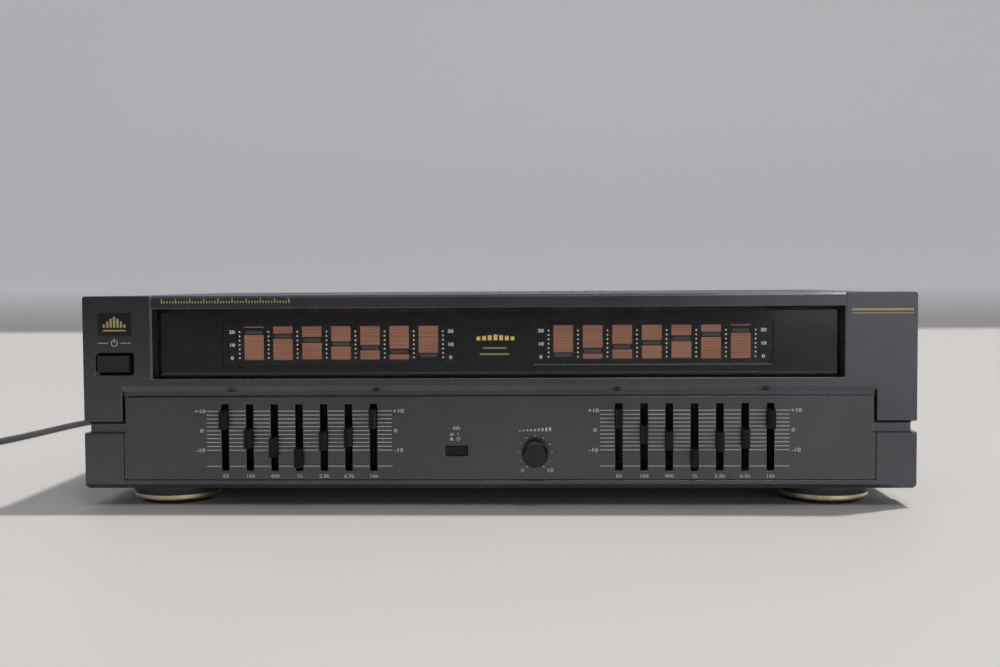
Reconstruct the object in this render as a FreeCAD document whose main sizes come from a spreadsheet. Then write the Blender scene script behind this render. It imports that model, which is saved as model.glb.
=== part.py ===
"""Seven-band stereo graphic equalizer in a full-width hi-fi case, as a parametric document.

Frame: +X to the right of the front, +Y towards the rear panel, +Z up, millimetres. The
origin is the middle of the case's footprint on the surface that the feet stand on.
"""
import FreeCAD, Part

import math
import os
import re

import Sketcher
from FreeCAD import Placement, Rotation, Vector

# Driving dimensions, in millimetres and degrees. Each becomes one cell with an alias.
DRIVING = {
    # case
    "body_width": 430, "body_height": 110, "body_depth": 264, "foot_height": 9.6,
    "steel": 1.2, "cover_width": 426.8, "tray_width": 424, "tray_flange": 24, "edge_gap": 0.2,
    "cover_rise": 0.6, "cover_drop": 0.4, "side_screw_front": 60, "side_screw_back": 40, "side_screw_z": 24,
    "rear_screw_x": 150, "rear_screw_drop": 8, "rear_screw_rise": 5, "screw_length": 5,
    "rear_lip": 12, "lip_inset": 30, "cut_reach": 4,
    "vent_span": 330, "vent_y": 62, "vent_width": 3, "vent_length": 46,
    "tray_vent_span": 190, "tray_vent_y": -60, "tray_vent_width": 4, "tray_vent_length": 40,
    # moulded front frame
    "bezel_depth": 24, "bezel_wall": 4, "rim_wall": 2.5, "corner_cut": 1.5, "slope_reach": 1.5,
    "groove_low": 38.6, "groove_high": 44.7, "groove_depth": 3, "groove_side": 2.3,
    "groove_slope": 1.8, "step_width": 358.6, "step_depth": 0.4, "underside_cut": 2.1,
    # recess and the plate in it
    "recess_width": 390, "recess_top": 62.7, "recess_bevel": 2.8, "lip_width": 382,
    "bevel_depth": 1.4, "lip_rise": 3, "lip_drop": 4.5,
    "panel_width": 388.8, "panel_upper_width": 386.4, "panel_low": 14.1, "panel_high": 57.5,
    "panel_thick": 2.5, "panel_inset": 0.3, "panel_seam": 0.4, "panel_corner": 1,
    # display window
    "window_width": 357.8, "window_low": 66.5, "window_high": 103.6, "window_side": 2,
    "window_sill": 1, "window_brow": 2.6, "pane_thick": 2.5, "pane_overlap": 1.2,
    # badge, power button and equalizer button
    "badge_x": -198.1, "badge_z": 95.3, "badge_width": 17.6, "badge_height": 12, "badge_thick": 0.4,
    "power_x": -198.4, "power_z": 74.75, "power_hole_width": 20.4, "power_hole_height": 12,
    "power_width": 16.6, "power_height": 8.6, "power_reach": 2.7, "power_inside": 9, "hole_bevel": 1.2,
    "rod_side": 4, "rod_length": 57, "switch_start": 72, "switch_length": 32,
    "switch_width": 14, "switch_height": 16, "switch_bore": 14,
    "post_width": 12, "post_length": 24, "post_wall": 2,
    "eq_x": -20.2, "eq_z": 29, "eq_hole_width": 11.6, "eq_hole_height": 5.2, "eq_length": 6.1,
    "eq_stem": 6.5, "eq_stem_side": 3, "eq_switch_depth": 8.5, "eq_switch_width": 13, "eq_switch_height": 9,
    "eq_bore_depth": 7, "button_play": 0.35,
    # level knob
    "knob_x": 20.35, "knob_z": 28.2, "knob_radius": 6.9, "knob_face": 5.5, "knob_length": 9.3,
    "knob_bevel": 1.2, "knob_bore_depth": 3.8, "shaft_radius": 3, "shaft_play": 0.05,
    "panel_gap": 0.5, "reach": 9.5, "pot_side": 17, "pot_depth": 8, "bush_radius": 4.5, "bush_length": 5,
    "knob_taper": 0.3, "pointer_width": 1.2, "pointer_depth": 0.6, "shaft_rest": 2.3, "pot_bore_depth": 6,
    # sliders
    "slot_centre": 102.2, "slot_pitch": 12.92, "slot_width": 4, "slot_length": 34.9, "slot_z": 36.05,
    "cap_width": 3.6, "cap_face_width": 2.4, "cap_height": 10.2,
    "cap_face_height": 9.4, "cap_length": 7.5, "cap_gap": 0.7, "lever_width": 1.2, "lever_height": 4,
    "lever_grip": 4.6, "lever_inside": 13.7, "slide_width": 8.6, "slide_depth": 7, "slide_length": 34,
    "channel_width": 1.8, "channel_length": 27.2, "channel_depth": 4,
    # boards and display tubes
    "board_back": 18, "board_thick": 1.6, "board_width": 370, "tube_centre": 81.5, "tube_width": 124,
    "tube_low": 72.8, "tube_high": 95.4, "tube_back": 8, "tube_depth": 6.5,
    "main_board_x": 75, "main_board_y": 30, "main_board_width": 190, "main_board_length": 150,
    "standoff_height": 8.2, "standoff_radius": 3, "screw_radius": 1.5, "screw_play": 0.1,
    "screw_head_radius": 2.9, "screw_head": 1.4,
    "board_low": 15.5, "board_height": 48, "hole_inset": 6, "thread_rise": 2, "board_screw": 6,
    # parts on the main board
    "parts_x": 20, "reservoir_y": 80, "reservoir_pitch": 24, "reservoir_radius": 9, "reservoir_height": 32,
    "coupling_x": 80, "coupling_y": 88, "coupling_pitch": 14, "coupling_radius": 4, "coupling_height": 12,
    "chip_y": -20, "chip_pitch_x": 38, "chip_pitch_y": 36, "chip_rise": 0.5, "chip_length": 20,
    "chip_width": 7, "chip_height": 3.6, "sink_x": 100, "sink_y": 55, "sink_width": 50, "sink_depth": 18,
    "sink_height": 34, "sink_wall": 4, "sink_gap": 6, "sink_pitch": 9,
    "cable_x": 30, "cable_pitch": 90, "cable_z": 34, "cable_width": 24, "cable_thick": 0.8,
    # fuse
    "fuse_x": -75, "fuse_y": 99.5, "fuse_rise": 9, "fuse_radius": 2.5, "fuse_length": 20,
    "holder_length": 30, "holder_width": 9, "holder_height": 10,
    # transformer
    "core_x": -140, "core_y": 66, "core_width": 60, "core_stack": 32, "core_height": 50,
    "core_leg": 20, "core_window": 10, "core_window_height": 30, "coil_overhang": 7, "bracket_hole": 6,
    # feet
    "foot_x": 174, "foot_front": 27, "foot_back": 30, "foot_radius": 24, "ring_radius": 23.2,
    "ring_height": 2.7, "pad_height": 2.2, "pad_radius": 19, "pad_bore": 6, "foot_recess": 5,
    "ring_inner": 20, "ring_round": 0.5, "foot_web": 5, "foot_edge": 1.5, "pad_edge": 0.6,
    # rear sockets
    "jack_x": 62, "jack_z": 38, "jack_pitch": 18, "jack_row": 16, "jack_radius": 4.15,
    "jack_bore": 3.4, "collar_radius": 5, "collar_reach": 1, "block_depth": 12,
    "contact_radius": 1.7, "contact_depth": 8,
    # mains lead
    "cord_diameter": 4.5, "cord_exit_x": -165, "cord_exit_z": 38, "relief_length": 28,
    "relief_radius": 6.5, "relief_flange": 3, "relief_tip": 3.4, "relief_neck": 4.9,
    "coil_x": -434.5, "coil_y": 27,
    "coil_radius": 26, "coil_layers": 3, "tie_thick": 0.8, "tie_width": 5,
    "plug_width": 35.3, "plug_thick": 13.7, "plug_length": 36, "plug_back": 14, "plug_corner": 4.6,
    "pin_radius": 2, "pin_length": 19,
    "pin_spread": 9.3,
}

# How many slots the cover and the tray have.
VENT_SLOTS = 34
TRAY_SLOTS = 16

# Where each slider stands, in millimetres from the middle of its travel, by frequency band.
BANDS = ("63hz", "160hz", "400hz", "1khz", "2k5hz", "6k3hz", "16khz")
SETTINGS = {
    "left": (9.7, 0.0, -4.5, -10.0, -1.1, 0.7, 10.2),
    "right": (10.2, 2.1, -1.0, -10.2, -1.7, 0.0, 9.8),
}

# Route of the mains lead from its strain relief to the coil, and from the coil to the plug.
LEAD_ROUTE = (
    (-165, 160, 38), (-165, 183, 38), (-168, 206, 27), (-177, 226, 12), (-193, 245, 2.25),
    (-218, 262, 2.25), (-252, 273, 2.25), (-290, 274, 2.25), (-325, 262, 2.25),
    (-348, 238, 2.25), (-357.5, 206, 2.25), (-363, 160, 2.25), (-369.5, 113, 2.25),
    (-380, 73, 2.25), (-396, 40, 2.25), (-411.1, 13.7, 2.25),
)
TAIL_ROUTE = (
    (-448.6, 2.5, 11.25), (-467.7, 13.5, 9.5), (-481, 32, 7.3), (-486, 55, 6.85), (-486, 77, 6.85),
)

FRONT = "(-body_depth / 2)"
REAR = "(body_depth / 2)"
HALF = "(body_width / 2)"
PANEL_FACE = f"({FRONT} + panel_inset)"
PANEL_BACK = f"({PANEL_FACE} + panel_thick)"
BOARD_FACE = f"({FRONT} + board_back)"
REAR_INNER = f"({REAR} - steel)"
TRAY_TOP = "(foot_height + steel)"
COVER_FRONT = f"({FRONT} + bezel_depth)"
COVER_TOP = "(body_height - cover_drop)"

DOC = FreeCAD.newDocument("graphic_equalizer")
SHEET = DOC.addObject("Spreadsheet::Sheet", "Sizes")
NODES = []


def fill_sheet():
    """Write each driving dimension as a plain number with its alias."""
    for row, (alias, value) in enumerate(DRIVING.items(), start=1):
        SHEET.set(f"A{row}", alias)
        SHEET.set(f"B{row}", str(value))
        SHEET.setAlias(f"B{row}", alias)
    DOC.recompute()


def sized(expression):
    """Point every driving dimension's name in an expression at the sheet."""
    def cell(match):
        word = match.group(0)
        return f"Sizes.{word}" if word in DRIVING else word
    return re.sub(r"[a-z][a-z0-9_]*", cell, str(expression))


def number(expression):
    """The value of an expression as a plain number."""
    return float(SHEET.evalExpression(sized(expression)))


def bind(item, expressions):
    """Bind properties of an object to expressions of the sheet."""
    for path, expression in expressions.items():
        item.setExpression(path, sized(expression))


def place(item, corner):
    """Bind the base of an object's placement."""
    bind(item, {f"Placement.Base.{axis}": value for axis, value in zip("xyz", corner)})


# ---- primitives and booleans -------------------------------------------------------------

def box(name, corner, extent):
    """A box from its low corner and its three lengths."""
    item = DOC.addObject("Part::Box", name)
    bind(item, dict(zip(("Length", "Width", "Height"), extent)))
    place(item, corner)
    return item


def middle_box(name, x, z, width, height, start, depth):
    """A box centred on x and z that runs from y = start towards the rear."""
    corner = (f"{x} - ({width}) / 2", start, f"{z} - ({height}) / 2")
    return box(name, corner, (width, depth, height))


def wedge(name, near, far, start, depth):
    """A block whose rectangle changes from near to far between y = start and start + depth.

    Each rectangle is given as low x, high x, low z and high z.
    """
    item = DOC.addObject("Part::Wedge", name)
    names = ("Xmin", "Xmax", "Zmin", "Zmax")
    bind(item, dict(zip(names, near)))
    bind(item, dict(zip(("X2min", "X2max", "Z2min", "Z2max"), far)))
    bind(item, {"Ymin": start, "Ymax": f"{start} + {depth}"})
    return item


DIRECTIONS = {
    "x": Rotation(Vector(0, 1, 0), 90),
    "y": Rotation(Vector(1, 0, 0), -90),
    "z": Rotation(),
}


def cylinder(name, direction, start, radius, length):
    """A cylinder along x, y or z from the centre of its first end."""
    item = DOC.addObject("Part::Cylinder", name)
    item.Placement = Placement(Vector(), DIRECTIONS[direction])
    bind(item, {"Radius": radius, "Height": length})
    place(item, start)
    return item


def cone(name, direction, start, radius, end_radius, length):
    """A cone along x, y or z from the centre of its first end."""
    item = DOC.addObject("Part::Cone", name)
    item.Placement = Placement(Vector(), DIRECTIONS[direction])
    bind(item, {"Radius1": radius, "Radius2": end_radius, "Height": length})
    place(item, start)
    return item


def fuse(name, items):
    """One solid out of pieces that touch or overlap."""
    item = DOC.addObject("Part::MultiFuse", name)
    item.Shapes = items
    return item


def group(name, items):
    """Several separate solids under one name."""
    item = DOC.addObject("Part::Compound", name)
    item.Links = items
    return item


def cut(name, base, tools):
    """A base with one or more tools taken away."""
    item = DOC.addObject("Part::Cut", name)
    item.Base = base
    item.Tool = tools[0] if len(tools) == 1 else fuse(f"{name}_tools", tools)
    return item


def node(name, item):
    """Give a finished sub-part its label and keep it for export."""
    item.Label = name
    NODES.append(item)
    return item


# ---- sketched features -------------------------------------------------------------------

def new_body(name):
    """A PartDesign body, which may hold several separate solids."""
    return DOC.addObject("PartDesign::Body", f"{name}_body")


def origin_feature(body, role):
    """A plane or axis of the body's own origin."""
    return next(item for item in body.Origin.OriginFeatures if item.Role == role)


def new_sketch(body, name, role="XZ_Plane", offset="0"):
    """A sketch on one of the body's origin planes, moved along that plane's normal."""
    sketch = body.newObject("Sketcher::SketchObject", name)
    sketch.AttachmentSupport = [(origin_feature(body, role), "")]
    sketch.MapMode = "FlatFace"
    bind(sketch, {"AttachmentOffset.Base.z": offset})
    return sketch


def pin_point(sketch, name, geometry, point, place_at):
    """Hold one point of a sketch at a pair of expressions."""
    for kind, letter, value in zip(("DistanceX", "DistanceY"), "uv", place_at):
        index = sketch.addConstraint(Sketcher.Constraint(kind, -1, 1, geometry, point, number(value)))
        sketch.renameConstraint(index, f"{name}{letter}")
        bind(sketch, {f"Constraints.{name}{letter}": value})


def outline(sketch, points):
    """A closed outline through points that are pairs of expressions."""
    first = sketch.GeometryCount
    corners = [Vector(number(u), number(v), 0) for u, v in points]
    for index, corner in enumerate(corners):
        following = corners[(index + 1) % len(corners)]
        sketch.addGeometry(Part.LineSegment(corner, following), False)
    for index, point in enumerate(points):
        joined = first + (index + 1) % len(points)
        sketch.addConstraint(Sketcher.Constraint("Coincident", first + index, 2, joined, 1))
        pin_point(sketch, f"p{first + index}", first + index, 1, point)
    return sketch


def rectangle(sketch, u, v, width, height):
    """A rectangle about its centre."""
    low_u, high_u = f"{u} - ({width}) / 2", f"{u} + ({width}) / 2"
    low_v, high_v = f"{v} - ({height}) / 2", f"{v} + ({height}) / 2"
    return outline(sketch, [(low_u, low_v), (high_u, low_v), (high_u, high_v), (low_u, high_v)])


def disc(sketch, u, v, radius):
    """A circle about a point."""
    centre = Vector(number(u), number(v), 0)
    index = sketch.addGeometry(Part.Circle(centre, Vector(0, 0, 1), number(radius)), False)
    pin_point(sketch, f"c{index}", index, 3, (u, v))
    held = sketch.addConstraint(Sketcher.Constraint("Radius", index, number(radius)))
    sketch.renameConstraint(held, f"r{index}")
    bind(sketch, {f"Constraints.r{index}": radius})
    return sketch


def pad(body, name, sketch, length, reverse=True):
    """Pad a sketch; on the XZ plane a reversed pad grows towards the rear."""
    feature = body.newObject("PartDesign::Pad", name)
    feature.Profile = sketch
    feature.Reversed = reverse
    bind(feature, {"Length": length})
    body.Tip = feature
    return feature


def pocket(body, name, sketch, length, reverse=False):
    """Cut a sketch's shape out of the body, to a stated depth."""
    feature = body.newObject("PartDesign::Pocket", name)
    feature.Profile = sketch
    feature.Reversed = reverse
    bind(feature, {"Length": length})
    body.Tip = feature
    return feature


def revolve(body, name, sketch):
    """Turn a sketch about its own vertical axis."""
    feature = body.newObject("PartDesign::Revolution", name)
    feature.Profile = sketch
    feature.ReferenceAxis = (sketch, ["V_Axis"])
    feature.Angle = 360
    body.Tip = feature
    return feature


def rows(body, name, feature, first, second=None):
    """Repeat a feature along one or two axes; each is role, count and whole length."""
    repeat = body.newObject("PartDesign::LinearPattern", name)
    repeat.Originals = [feature]
    for suffix, row in (("", first), ("2", second)):
        if row:
            role, count, length = row
            setattr(repeat, f"Direction{suffix}", (origin_feature(body, role), [""]))
            setattr(repeat, f"Occurrences{suffix}", count)
            bind(repeat, {f"Length{suffix}": length})
    body.Tip = repeat
    return repeat


def edges_where(shape, wanted):
    """Numbers of the edges whose middle point and direction pass a test."""
    found = []
    for index, edge in enumerate(shape.Edges, start=1):
        start, end = edge.Vertexes[0].Point, edge.Vertexes[-1].Point
        if wanted((start + end) * 0.5, end - start):
            found.append(index)
    return found


# ---- case --------------------------------------------------------------------------------

def front_bezel():
    """Moulded frame: two end blocks, the window surround, the recess and the bottom rail."""
    height = "(body_height - foot_height)"
    block = box("bezel_block", (f"-{HALF}", FRONT, "foot_height"), ("body_width", "bezel_depth", height))
    DOC.recompute()
    top = number("body_height")
    low = number("foot_height")
    rounded = DOC.addObject("Part::Fillet", "bezel_rounded")
    rounded.Base = block
    upper = edges_where(block.Shape, lambda mid, way: abs(way.y) > 1 and abs(mid.z - top) < 1)
    rounded.Edges = [(edge, DRIVING["corner_cut"], DRIVING["corner_cut"]) for edge in upper]
    DOC.recompute()
    trimmed = DOC.addObject("Part::Chamfer", "bezel_trimmed")
    trimmed.Base = rounded
    lower = edges_where(rounded.Shape, lambda mid, way: abs(way.y) > 1 and abs(mid.z - low) < 1)
    trimmed.Edges = [(edge, DRIVING["corner_cut"], DRIVING["corner_cut"]) for edge in lower]
    seat_depth = "(panel_inset + panel_thick)"
    wall_back = f"({FRONT} + bezel_wall)"
    recess = "recess_width / 2"
    window = "window_width / 2"
    recess_mouth = (f"-{recess}", recess, "groove_low", "recess_top")
    recess_throat = (f"-{recess} + slope_reach / 2", f"{recess} - slope_reach / 2",
                     "groove_low", "recess_top - recess_bevel")
    half_wide, half_high = "power_hole_width / 2", "power_hole_height / 2"
    tools = [
        box("bezel_cavity", (f"-{HALF} + rim_wall", wall_back, "foot_height + rim_wall"),
            ("body_width - 2 * rim_wall", "bezel_depth", f"{height} - 2 * rim_wall")),
        wedge("bezel_window",
              (f"-{window}", window, "window_low", "window_high"),
              (f"-{window} + window_side", f"{window} - window_side",
               "window_low + window_sill", "window_high - window_brow"), FRONT, "bezel_wall"),
        box("bezel_step", ("-step_width / 2", FRONT, "window_low"),
            ("step_width", "step_depth", "body_height - window_low")),
        wedge("bezel_top_slope",
              ("-step_width / 2", "step_width / 2", "body_height - slope_reach", "body_height + 1"),
              ("-step_width / 2", "step_width / 2", "body_height", "body_height + 1"),
              FRONT, "slope_reach + step_depth"),
        wedge("bezel_underside",
              (f"-{HALF}", HALF, "foot_height - 1", "foot_height + underside_cut"),
              (f"-{HALF}", HALF, "foot_height - 1", "foot_height"), FRONT, "underside_cut / 2"),
        box("bezel_seat", ("-panel_width / 2 - panel_seam", FRONT, "panel_low - panel_seam"),
            ("panel_width + 2 * panel_seam", seat_depth, "groove_low - panel_low + panel_seam")),
        wedge("bezel_recess", recess_mouth, recess_throat, FRONT, "bevel_depth"),
        wedge("bezel_recess_back", recess_throat, recess_throat,
              f"({FRONT} + bevel_depth)", f"({seat_depth} - bevel_depth)"),
        box("bezel_lip", ("-lip_width / 2", f"{FRONT} + {seat_depth}", "panel_low + lip_rise"),
            ("lip_width", "bezel_wall", "panel_high - panel_low - lip_drop")),
        middle_box("power_through", "power_x", "power_z", "power_hole_width - 2 * hole_bevel",
                   "power_hole_height - 2 * hole_bevel", FRONT, "bezel_wall"),
        wedge("power_bevel",
              (f"power_x - {half_wide}", f"power_x + {half_wide}",
               f"power_z - {half_high}", f"power_z + {half_high}"),
              (f"power_x - {half_wide} + hole_bevel", f"power_x + {half_wide} - hole_bevel",
               f"power_z - {half_high} + hole_bevel", f"power_z + {half_high} - hole_bevel"),
              FRONT, "hole_bevel"),
    ]
    for side, inner, outer in (("left", f"-{HALF} - 1", f"-{recess} + 1"),
                               ("right", f"{recess} - 1", f"{HALF} + 1")):
        mouth = (inner, outer, "groove_low - 1", "groove_high")
        neck = (inner, outer, "groove_low", "groove_high - groove_slope / 3")
        root = (inner, outer, "groove_low", "groove_high - groove_slope")
        tools.append(wedge(f"groove_mouth_{side}", mouth, neck, FRONT, "1"))
        tools.append(wedge(f"groove_root_{side}", neck, root, f"{FRONT} + 1", "groove_depth - 1"))
    for side, start in (("left", f"-{HALF}"), ("right", f"{HALF} - groove_side")):
        tools.append(box(f"groove_side_{side}", (start, FRONT, "groove_low"),
                         ("groove_side", "bezel_depth", "groove_high - groove_low - groove_slope / 3")))
    node("front_bezel", cut("front_bezel", trimmed, tools))


def control_panel():
    """Plate with the slider slots, the button's hole and the level control's hole."""
    body = new_body("control_panel")
    sketch = new_sketch(body, "panel_outline", offset=f"-{PANEL_FACE}")
    wide, narrow = "panel_width / 2", "panel_upper_width / 2"
    right = [
        (wide, "panel_low"), (wide, "groove_low - panel_seam"), (narrow, "groove_low"),
        (narrow, "panel_high - panel_corner"), (f"{narrow} - panel_corner", "panel_high"),
    ]
    left = [(f"-({u})", v) for u, v in reversed(right)]
    outline(sketch, right + left)
    pad(body, "panel_plate", sketch, "panel_thick")
    for side, sign in (("left", "-"), ("right", "")):
        slot = new_sketch(body, f"slot_{side}", offset=f"-{PANEL_FACE}")
        rectangle(slot, f"{sign}slot_centre - 3 * slot_pitch", "slot_z", "slot_width", "slot_length")
        opening = pocket(body, f"slot_cut_{side}", slot, "panel_thick")
        rows(body, f"slot_row_{side}", opening, ("X_Axis", len(BANDS), "6 * slot_pitch"))
    holes = new_sketch(body, "control_holes", offset=f"-{PANEL_FACE}")
    rectangle(holes, "eq_x", "eq_z", "eq_hole_width", "eq_hole_height")
    disc(holes, "knob_x", "knob_z", "bush_radius + panel_gap")
    drilled = pocket(body, "control_hole_cuts", holes, "panel_thick")
    DOC.recompute()
    face, top = number(PANEL_FACE), number("panel_high")
    rim = edges_where(body.Shape, lambda mid, way: abs(mid.y - face) < 0.01 and abs(mid.z - top) < 0.01)
    soft_edge = body.newObject("PartDesign::Chamfer", "panel_top_edge")
    soft_edge.Base = (drilled, [f"Edge{edge}" for edge in rim])
    bind(soft_edge, {"Size": "panel_gap"})
    body.Tip = soft_edge
    node("control_panel", body)


def display_window():
    """Smoked pane behind the window opening."""
    wall_back = f"({FRONT} + bezel_wall)"
    corner = ("-window_width / 2 - pane_overlap", wall_back, "window_low - pane_overlap")
    height = "window_high - window_low + 2 * pane_overlap"
    width = "window_width + 2 * pane_overlap"
    node("display_window", box("display_window", corner, (width, "pane_thick", height)))


def badge_plate():
    """Thin gloss plate on the left end block."""
    start = f"{FRONT} - badge_thick"
    node("badge_plate", middle_box("badge_plate", "badge_x", "badge_z", "badge_width", "badge_height", start,
                                   "badge_thick"))


def top_cover():
    """Sheet steel cover: top and both sides, a lip at the rear, and cooling slots."""
    body = new_body("top_cover")
    sketch = new_sketch(body, "cover_profile", offset=f"-{COVER_FRONT}")
    half = "cover_width / 2"
    low, top = "foot_height + cover_rise", COVER_TOP
    outline(sketch, [
        (f"-{half}", low), (f"-{half} + steel", low), (f"-{half} + steel", f"{top} - steel"),
        (f"{half} - steel", f"{top} - steel"), (f"{half} - steel", low), (half, low),
        (half, top), (f"-{half}", top),
    ])
    pad(body, "cover_sheet", sketch, "body_depth - bezel_depth")
    lip = new_sketch(body, "cover_lip_outline", offset=f"-({REAR_INNER} - steel)")
    rectangle(lip, "0", f"{top} - steel - rear_lip / 2", "cover_width - lip_inset", "rear_lip")
    pad(body, "cover_lip", lip, "steel")
    vents = new_sketch(body, "vent_slot", "XY_Plane", "body_height + 1")
    rectangle(vents, "-vent_span / 2", "vent_y", "vent_width", "vent_length")
    slots = pocket(body, "vent_cut", vents, "cut_reach")
    rows(body, "vents", slots, ("X_Axis", VENT_SLOTS, "vent_span"))
    holes = new_sketch(body, "cover_rear_holes", offset=f"-({REAR_INNER} - cut_reach)")
    for x in ("-rear_screw_x", "0", "rear_screw_x"):
        disc(holes, x, f"{COVER_TOP} - rear_screw_drop", "screw_radius + screw_play")
    pocket(body, "cover_rear_hole_cuts", holes, "cut_reach + 1")
    side_holes = new_sketch(body, "cover_side_holes", "YZ_Plane", f"-{half} - 1")
    for y in (f"{FRONT} + side_screw_front", f"{REAR} - side_screw_back"):
        disc(side_holes, y, "side_screw_z", "screw_radius + screw_play")
    pocket(body, "cover_side_hole_cuts", side_holes, "cover_width + 2", reverse=True)
    node("top_cover", body)


def base_tray():
    """Sheet steel floor with side, front and rear flanges."""
    body = new_body("base_tray")
    half = "tray_width / 2"
    sketch = new_sketch(body, "tray_profile", offset=f"-({COVER_FRONT} + edge_gap)")
    outline(sketch, [
        (f"-{half}", "foot_height"), (half, "foot_height"), (half, "foot_height + tray_flange"),
        (f"{half} - steel", "foot_height + tray_flange"), (f"{half} - steel", TRAY_TOP),
        (f"-{half} + steel", TRAY_TOP), (f"-{half} + steel", "foot_height + tray_flange"),
        (f"-{half}", "foot_height + tray_flange"),
    ])
    pad(body, "tray_sheet", sketch, f"{REAR_INNER} - {COVER_FRONT} - edge_gap")
    for name, start in (("front", f"{COVER_FRONT} + edge_gap"), ("rear", f"{REAR_INNER} - steel")):
        flange = new_sketch(body, f"tray_{name}_outline", offset=f"-({start})")
        rectangle(flange, "0", f"{TRAY_TOP} + rear_screw_rise", "tray_width - lip_inset",
                  "2 * rear_screw_rise")
        pad(body, f"tray_{name}_flange", flange, "steel")
    vents = new_sketch(body, "tray_slot", "XY_Plane", f"{TRAY_TOP} + 1")
    rectangle(vents, "-tray_vent_span / 2", "tray_vent_y", "tray_vent_width", "tray_vent_length")
    slots = pocket(body, "tray_slot_cut", vents, "cut_reach")
    rows(body, "tray_vents", slots, ("X_Axis", TRAY_SLOTS, "tray_vent_span"))
    holes = new_sketch(body, "tray_screw_holes", "XY_Plane", f"{TRAY_TOP} + 1")
    for x, y in foot_places():
        disc(holes, x, y, "screw_radius + screw_play")
    pocket(body, "tray_foot_holes", holes, "cut_reach")
    side_holes = new_sketch(body, "tray_side_holes", "YZ_Plane", f"-{half} - 1")
    for y in (f"{FRONT} + side_screw_front", f"{REAR} - side_screw_back"):
        disc(side_holes, y, "side_screw_z", "screw_radius + screw_play")
    pocket(body, "tray_side_hole_cuts", side_holes, "tray_width + 2", reverse=True)
    rear_holes = new_sketch(body, "tray_rear_holes", offset=f"-({REAR_INNER} - cut_reach)")
    for x in ("-rear_screw_x", "0", "rear_screw_x"):
        disc(rear_holes, x, f"{TRAY_TOP} + rear_screw_rise", "screw_radius + screw_play")
    pocket(body, "tray_rear_hole_cuts", rear_holes, "cut_reach + 1")
    node("base_tray", body)


def jack_places():
    """Expressions for the centres of the rear sockets: four columns in two rows."""
    columns = [f"(jack_x + {column} * jack_pitch)" for column in range(4)]
    return [(x, f"(jack_z + {row} * jack_row)") for x in columns for row in range(2)]


def rear_panel():
    """Sheet steel rear wall with holes for the sockets, the lead and the screws."""
    body = new_body("rear_panel")
    sketch = new_sketch(body, "rear_outline", offset=f"-{REAR_INNER}")
    low, high = "foot_height + edge_gap", f"{COVER_TOP} - steel - edge_gap"
    rectangle(sketch, "0", f"({low} + {high}) / 2", "tray_width", f"({high} - {low})")
    pad(body, "rear_sheet", sketch, "steel")
    holes = new_sketch(body, "rear_holes", offset=f"-({REAR_INNER} - 1)")
    for x, z in jack_places():
        disc(holes, x, z, "collar_radius + edge_gap")
    disc(holes, "cord_exit_x", "cord_exit_z", "relief_neck + screw_play")
    for x in ("-rear_screw_x", "0", "rear_screw_x"):
        disc(holes, x, f"{COVER_TOP} - rear_screw_drop", "screw_radius + screw_play")
        disc(holes, x, f"{TRAY_TOP} + rear_screw_rise", "screw_radius + screw_play")
    pocket(body, "rear_hole_cuts", holes, "cut_reach")
    node("rear_panel", body)


def screw(name, direction, start, length, flip=False):
    """A pan-head screw: head at start, shank beyond it along x, y or z (or against it)."""
    axis = "xyz".index(direction)
    head_start = list(start)
    shank_start = list(start)
    if flip:
        head_start[axis] = f"{start[axis]} - screw_head"
        shank_start[axis] = f"{start[axis]} - screw_head - {length}"
    else:
        shank_start[axis] = f"{start[axis]} + screw_head"
    head = cylinder(f"{name}_head", direction, head_start, "screw_head_radius", "screw_head")
    shank = cylinder(f"{name}_shank", direction, shank_start, "screw_radius", length)
    return fuse(f"{name}_screw", [head, shank])


def cover_screws():
    """Screws through the cover's sides and through the rear panel."""
    items = []
    half = "cover_width / 2"
    for index, y in enumerate((f"{FRONT} + side_screw_front", f"{REAR} - side_screw_back")):
        left = (f"-{half} - screw_head", y, "side_screw_z")
        right = (f"{half} + screw_head", y, "side_screw_z")
        items.append(screw(f"side_left_{index}", "x", left, "screw_length"))
        items.append(screw(f"side_right_{index}", "x", right, "screw_length", flip=True))
    for index, x in enumerate(("-rear_screw_x", "0", "rear_screw_x")):
        for level, z in (("top", f"{COVER_TOP} - rear_screw_drop"), ("low", f"{TRAY_TOP} + rear_screw_rise")):
            start = (x, f"{REAR} + screw_head", z)
            items.append(screw(f"rear_{level}_{index}", "y", start, "screw_length", flip=True))
    node("cover_screws", group("cover_screws", items))


# ---- feet --------------------------------------------------------------------------------

def foot_places():
    """Expressions for the centres of the four feet."""
    front, back = f"({FRONT} + foot_front)", f"({REAR} - foot_back)"
    return [("-foot_x", front), ("foot_x", front), ("-foot_x", back), ("foot_x", back)]


def turned_feet(name, profile):
    """Turn one profile about the first foot's axis and repeat it for all four feet."""
    body = new_body(name)
    sketch = new_sketch(body, f"{name}_profile")
    outline(sketch, profile)
    turned = revolve(body, f"{name}_turned", sketch)
    spacing = f"{REAR} - foot_back - ({FRONT} + foot_front)"
    rows(body, f"{name}_four", turned, ("X_Axis", 2, "2 * foot_x"), ("Y_Axis", 2, spacing))
    place(body, ("-foot_x", f"{FRONT} + foot_front", "0"))
    return node(name, body)


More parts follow.
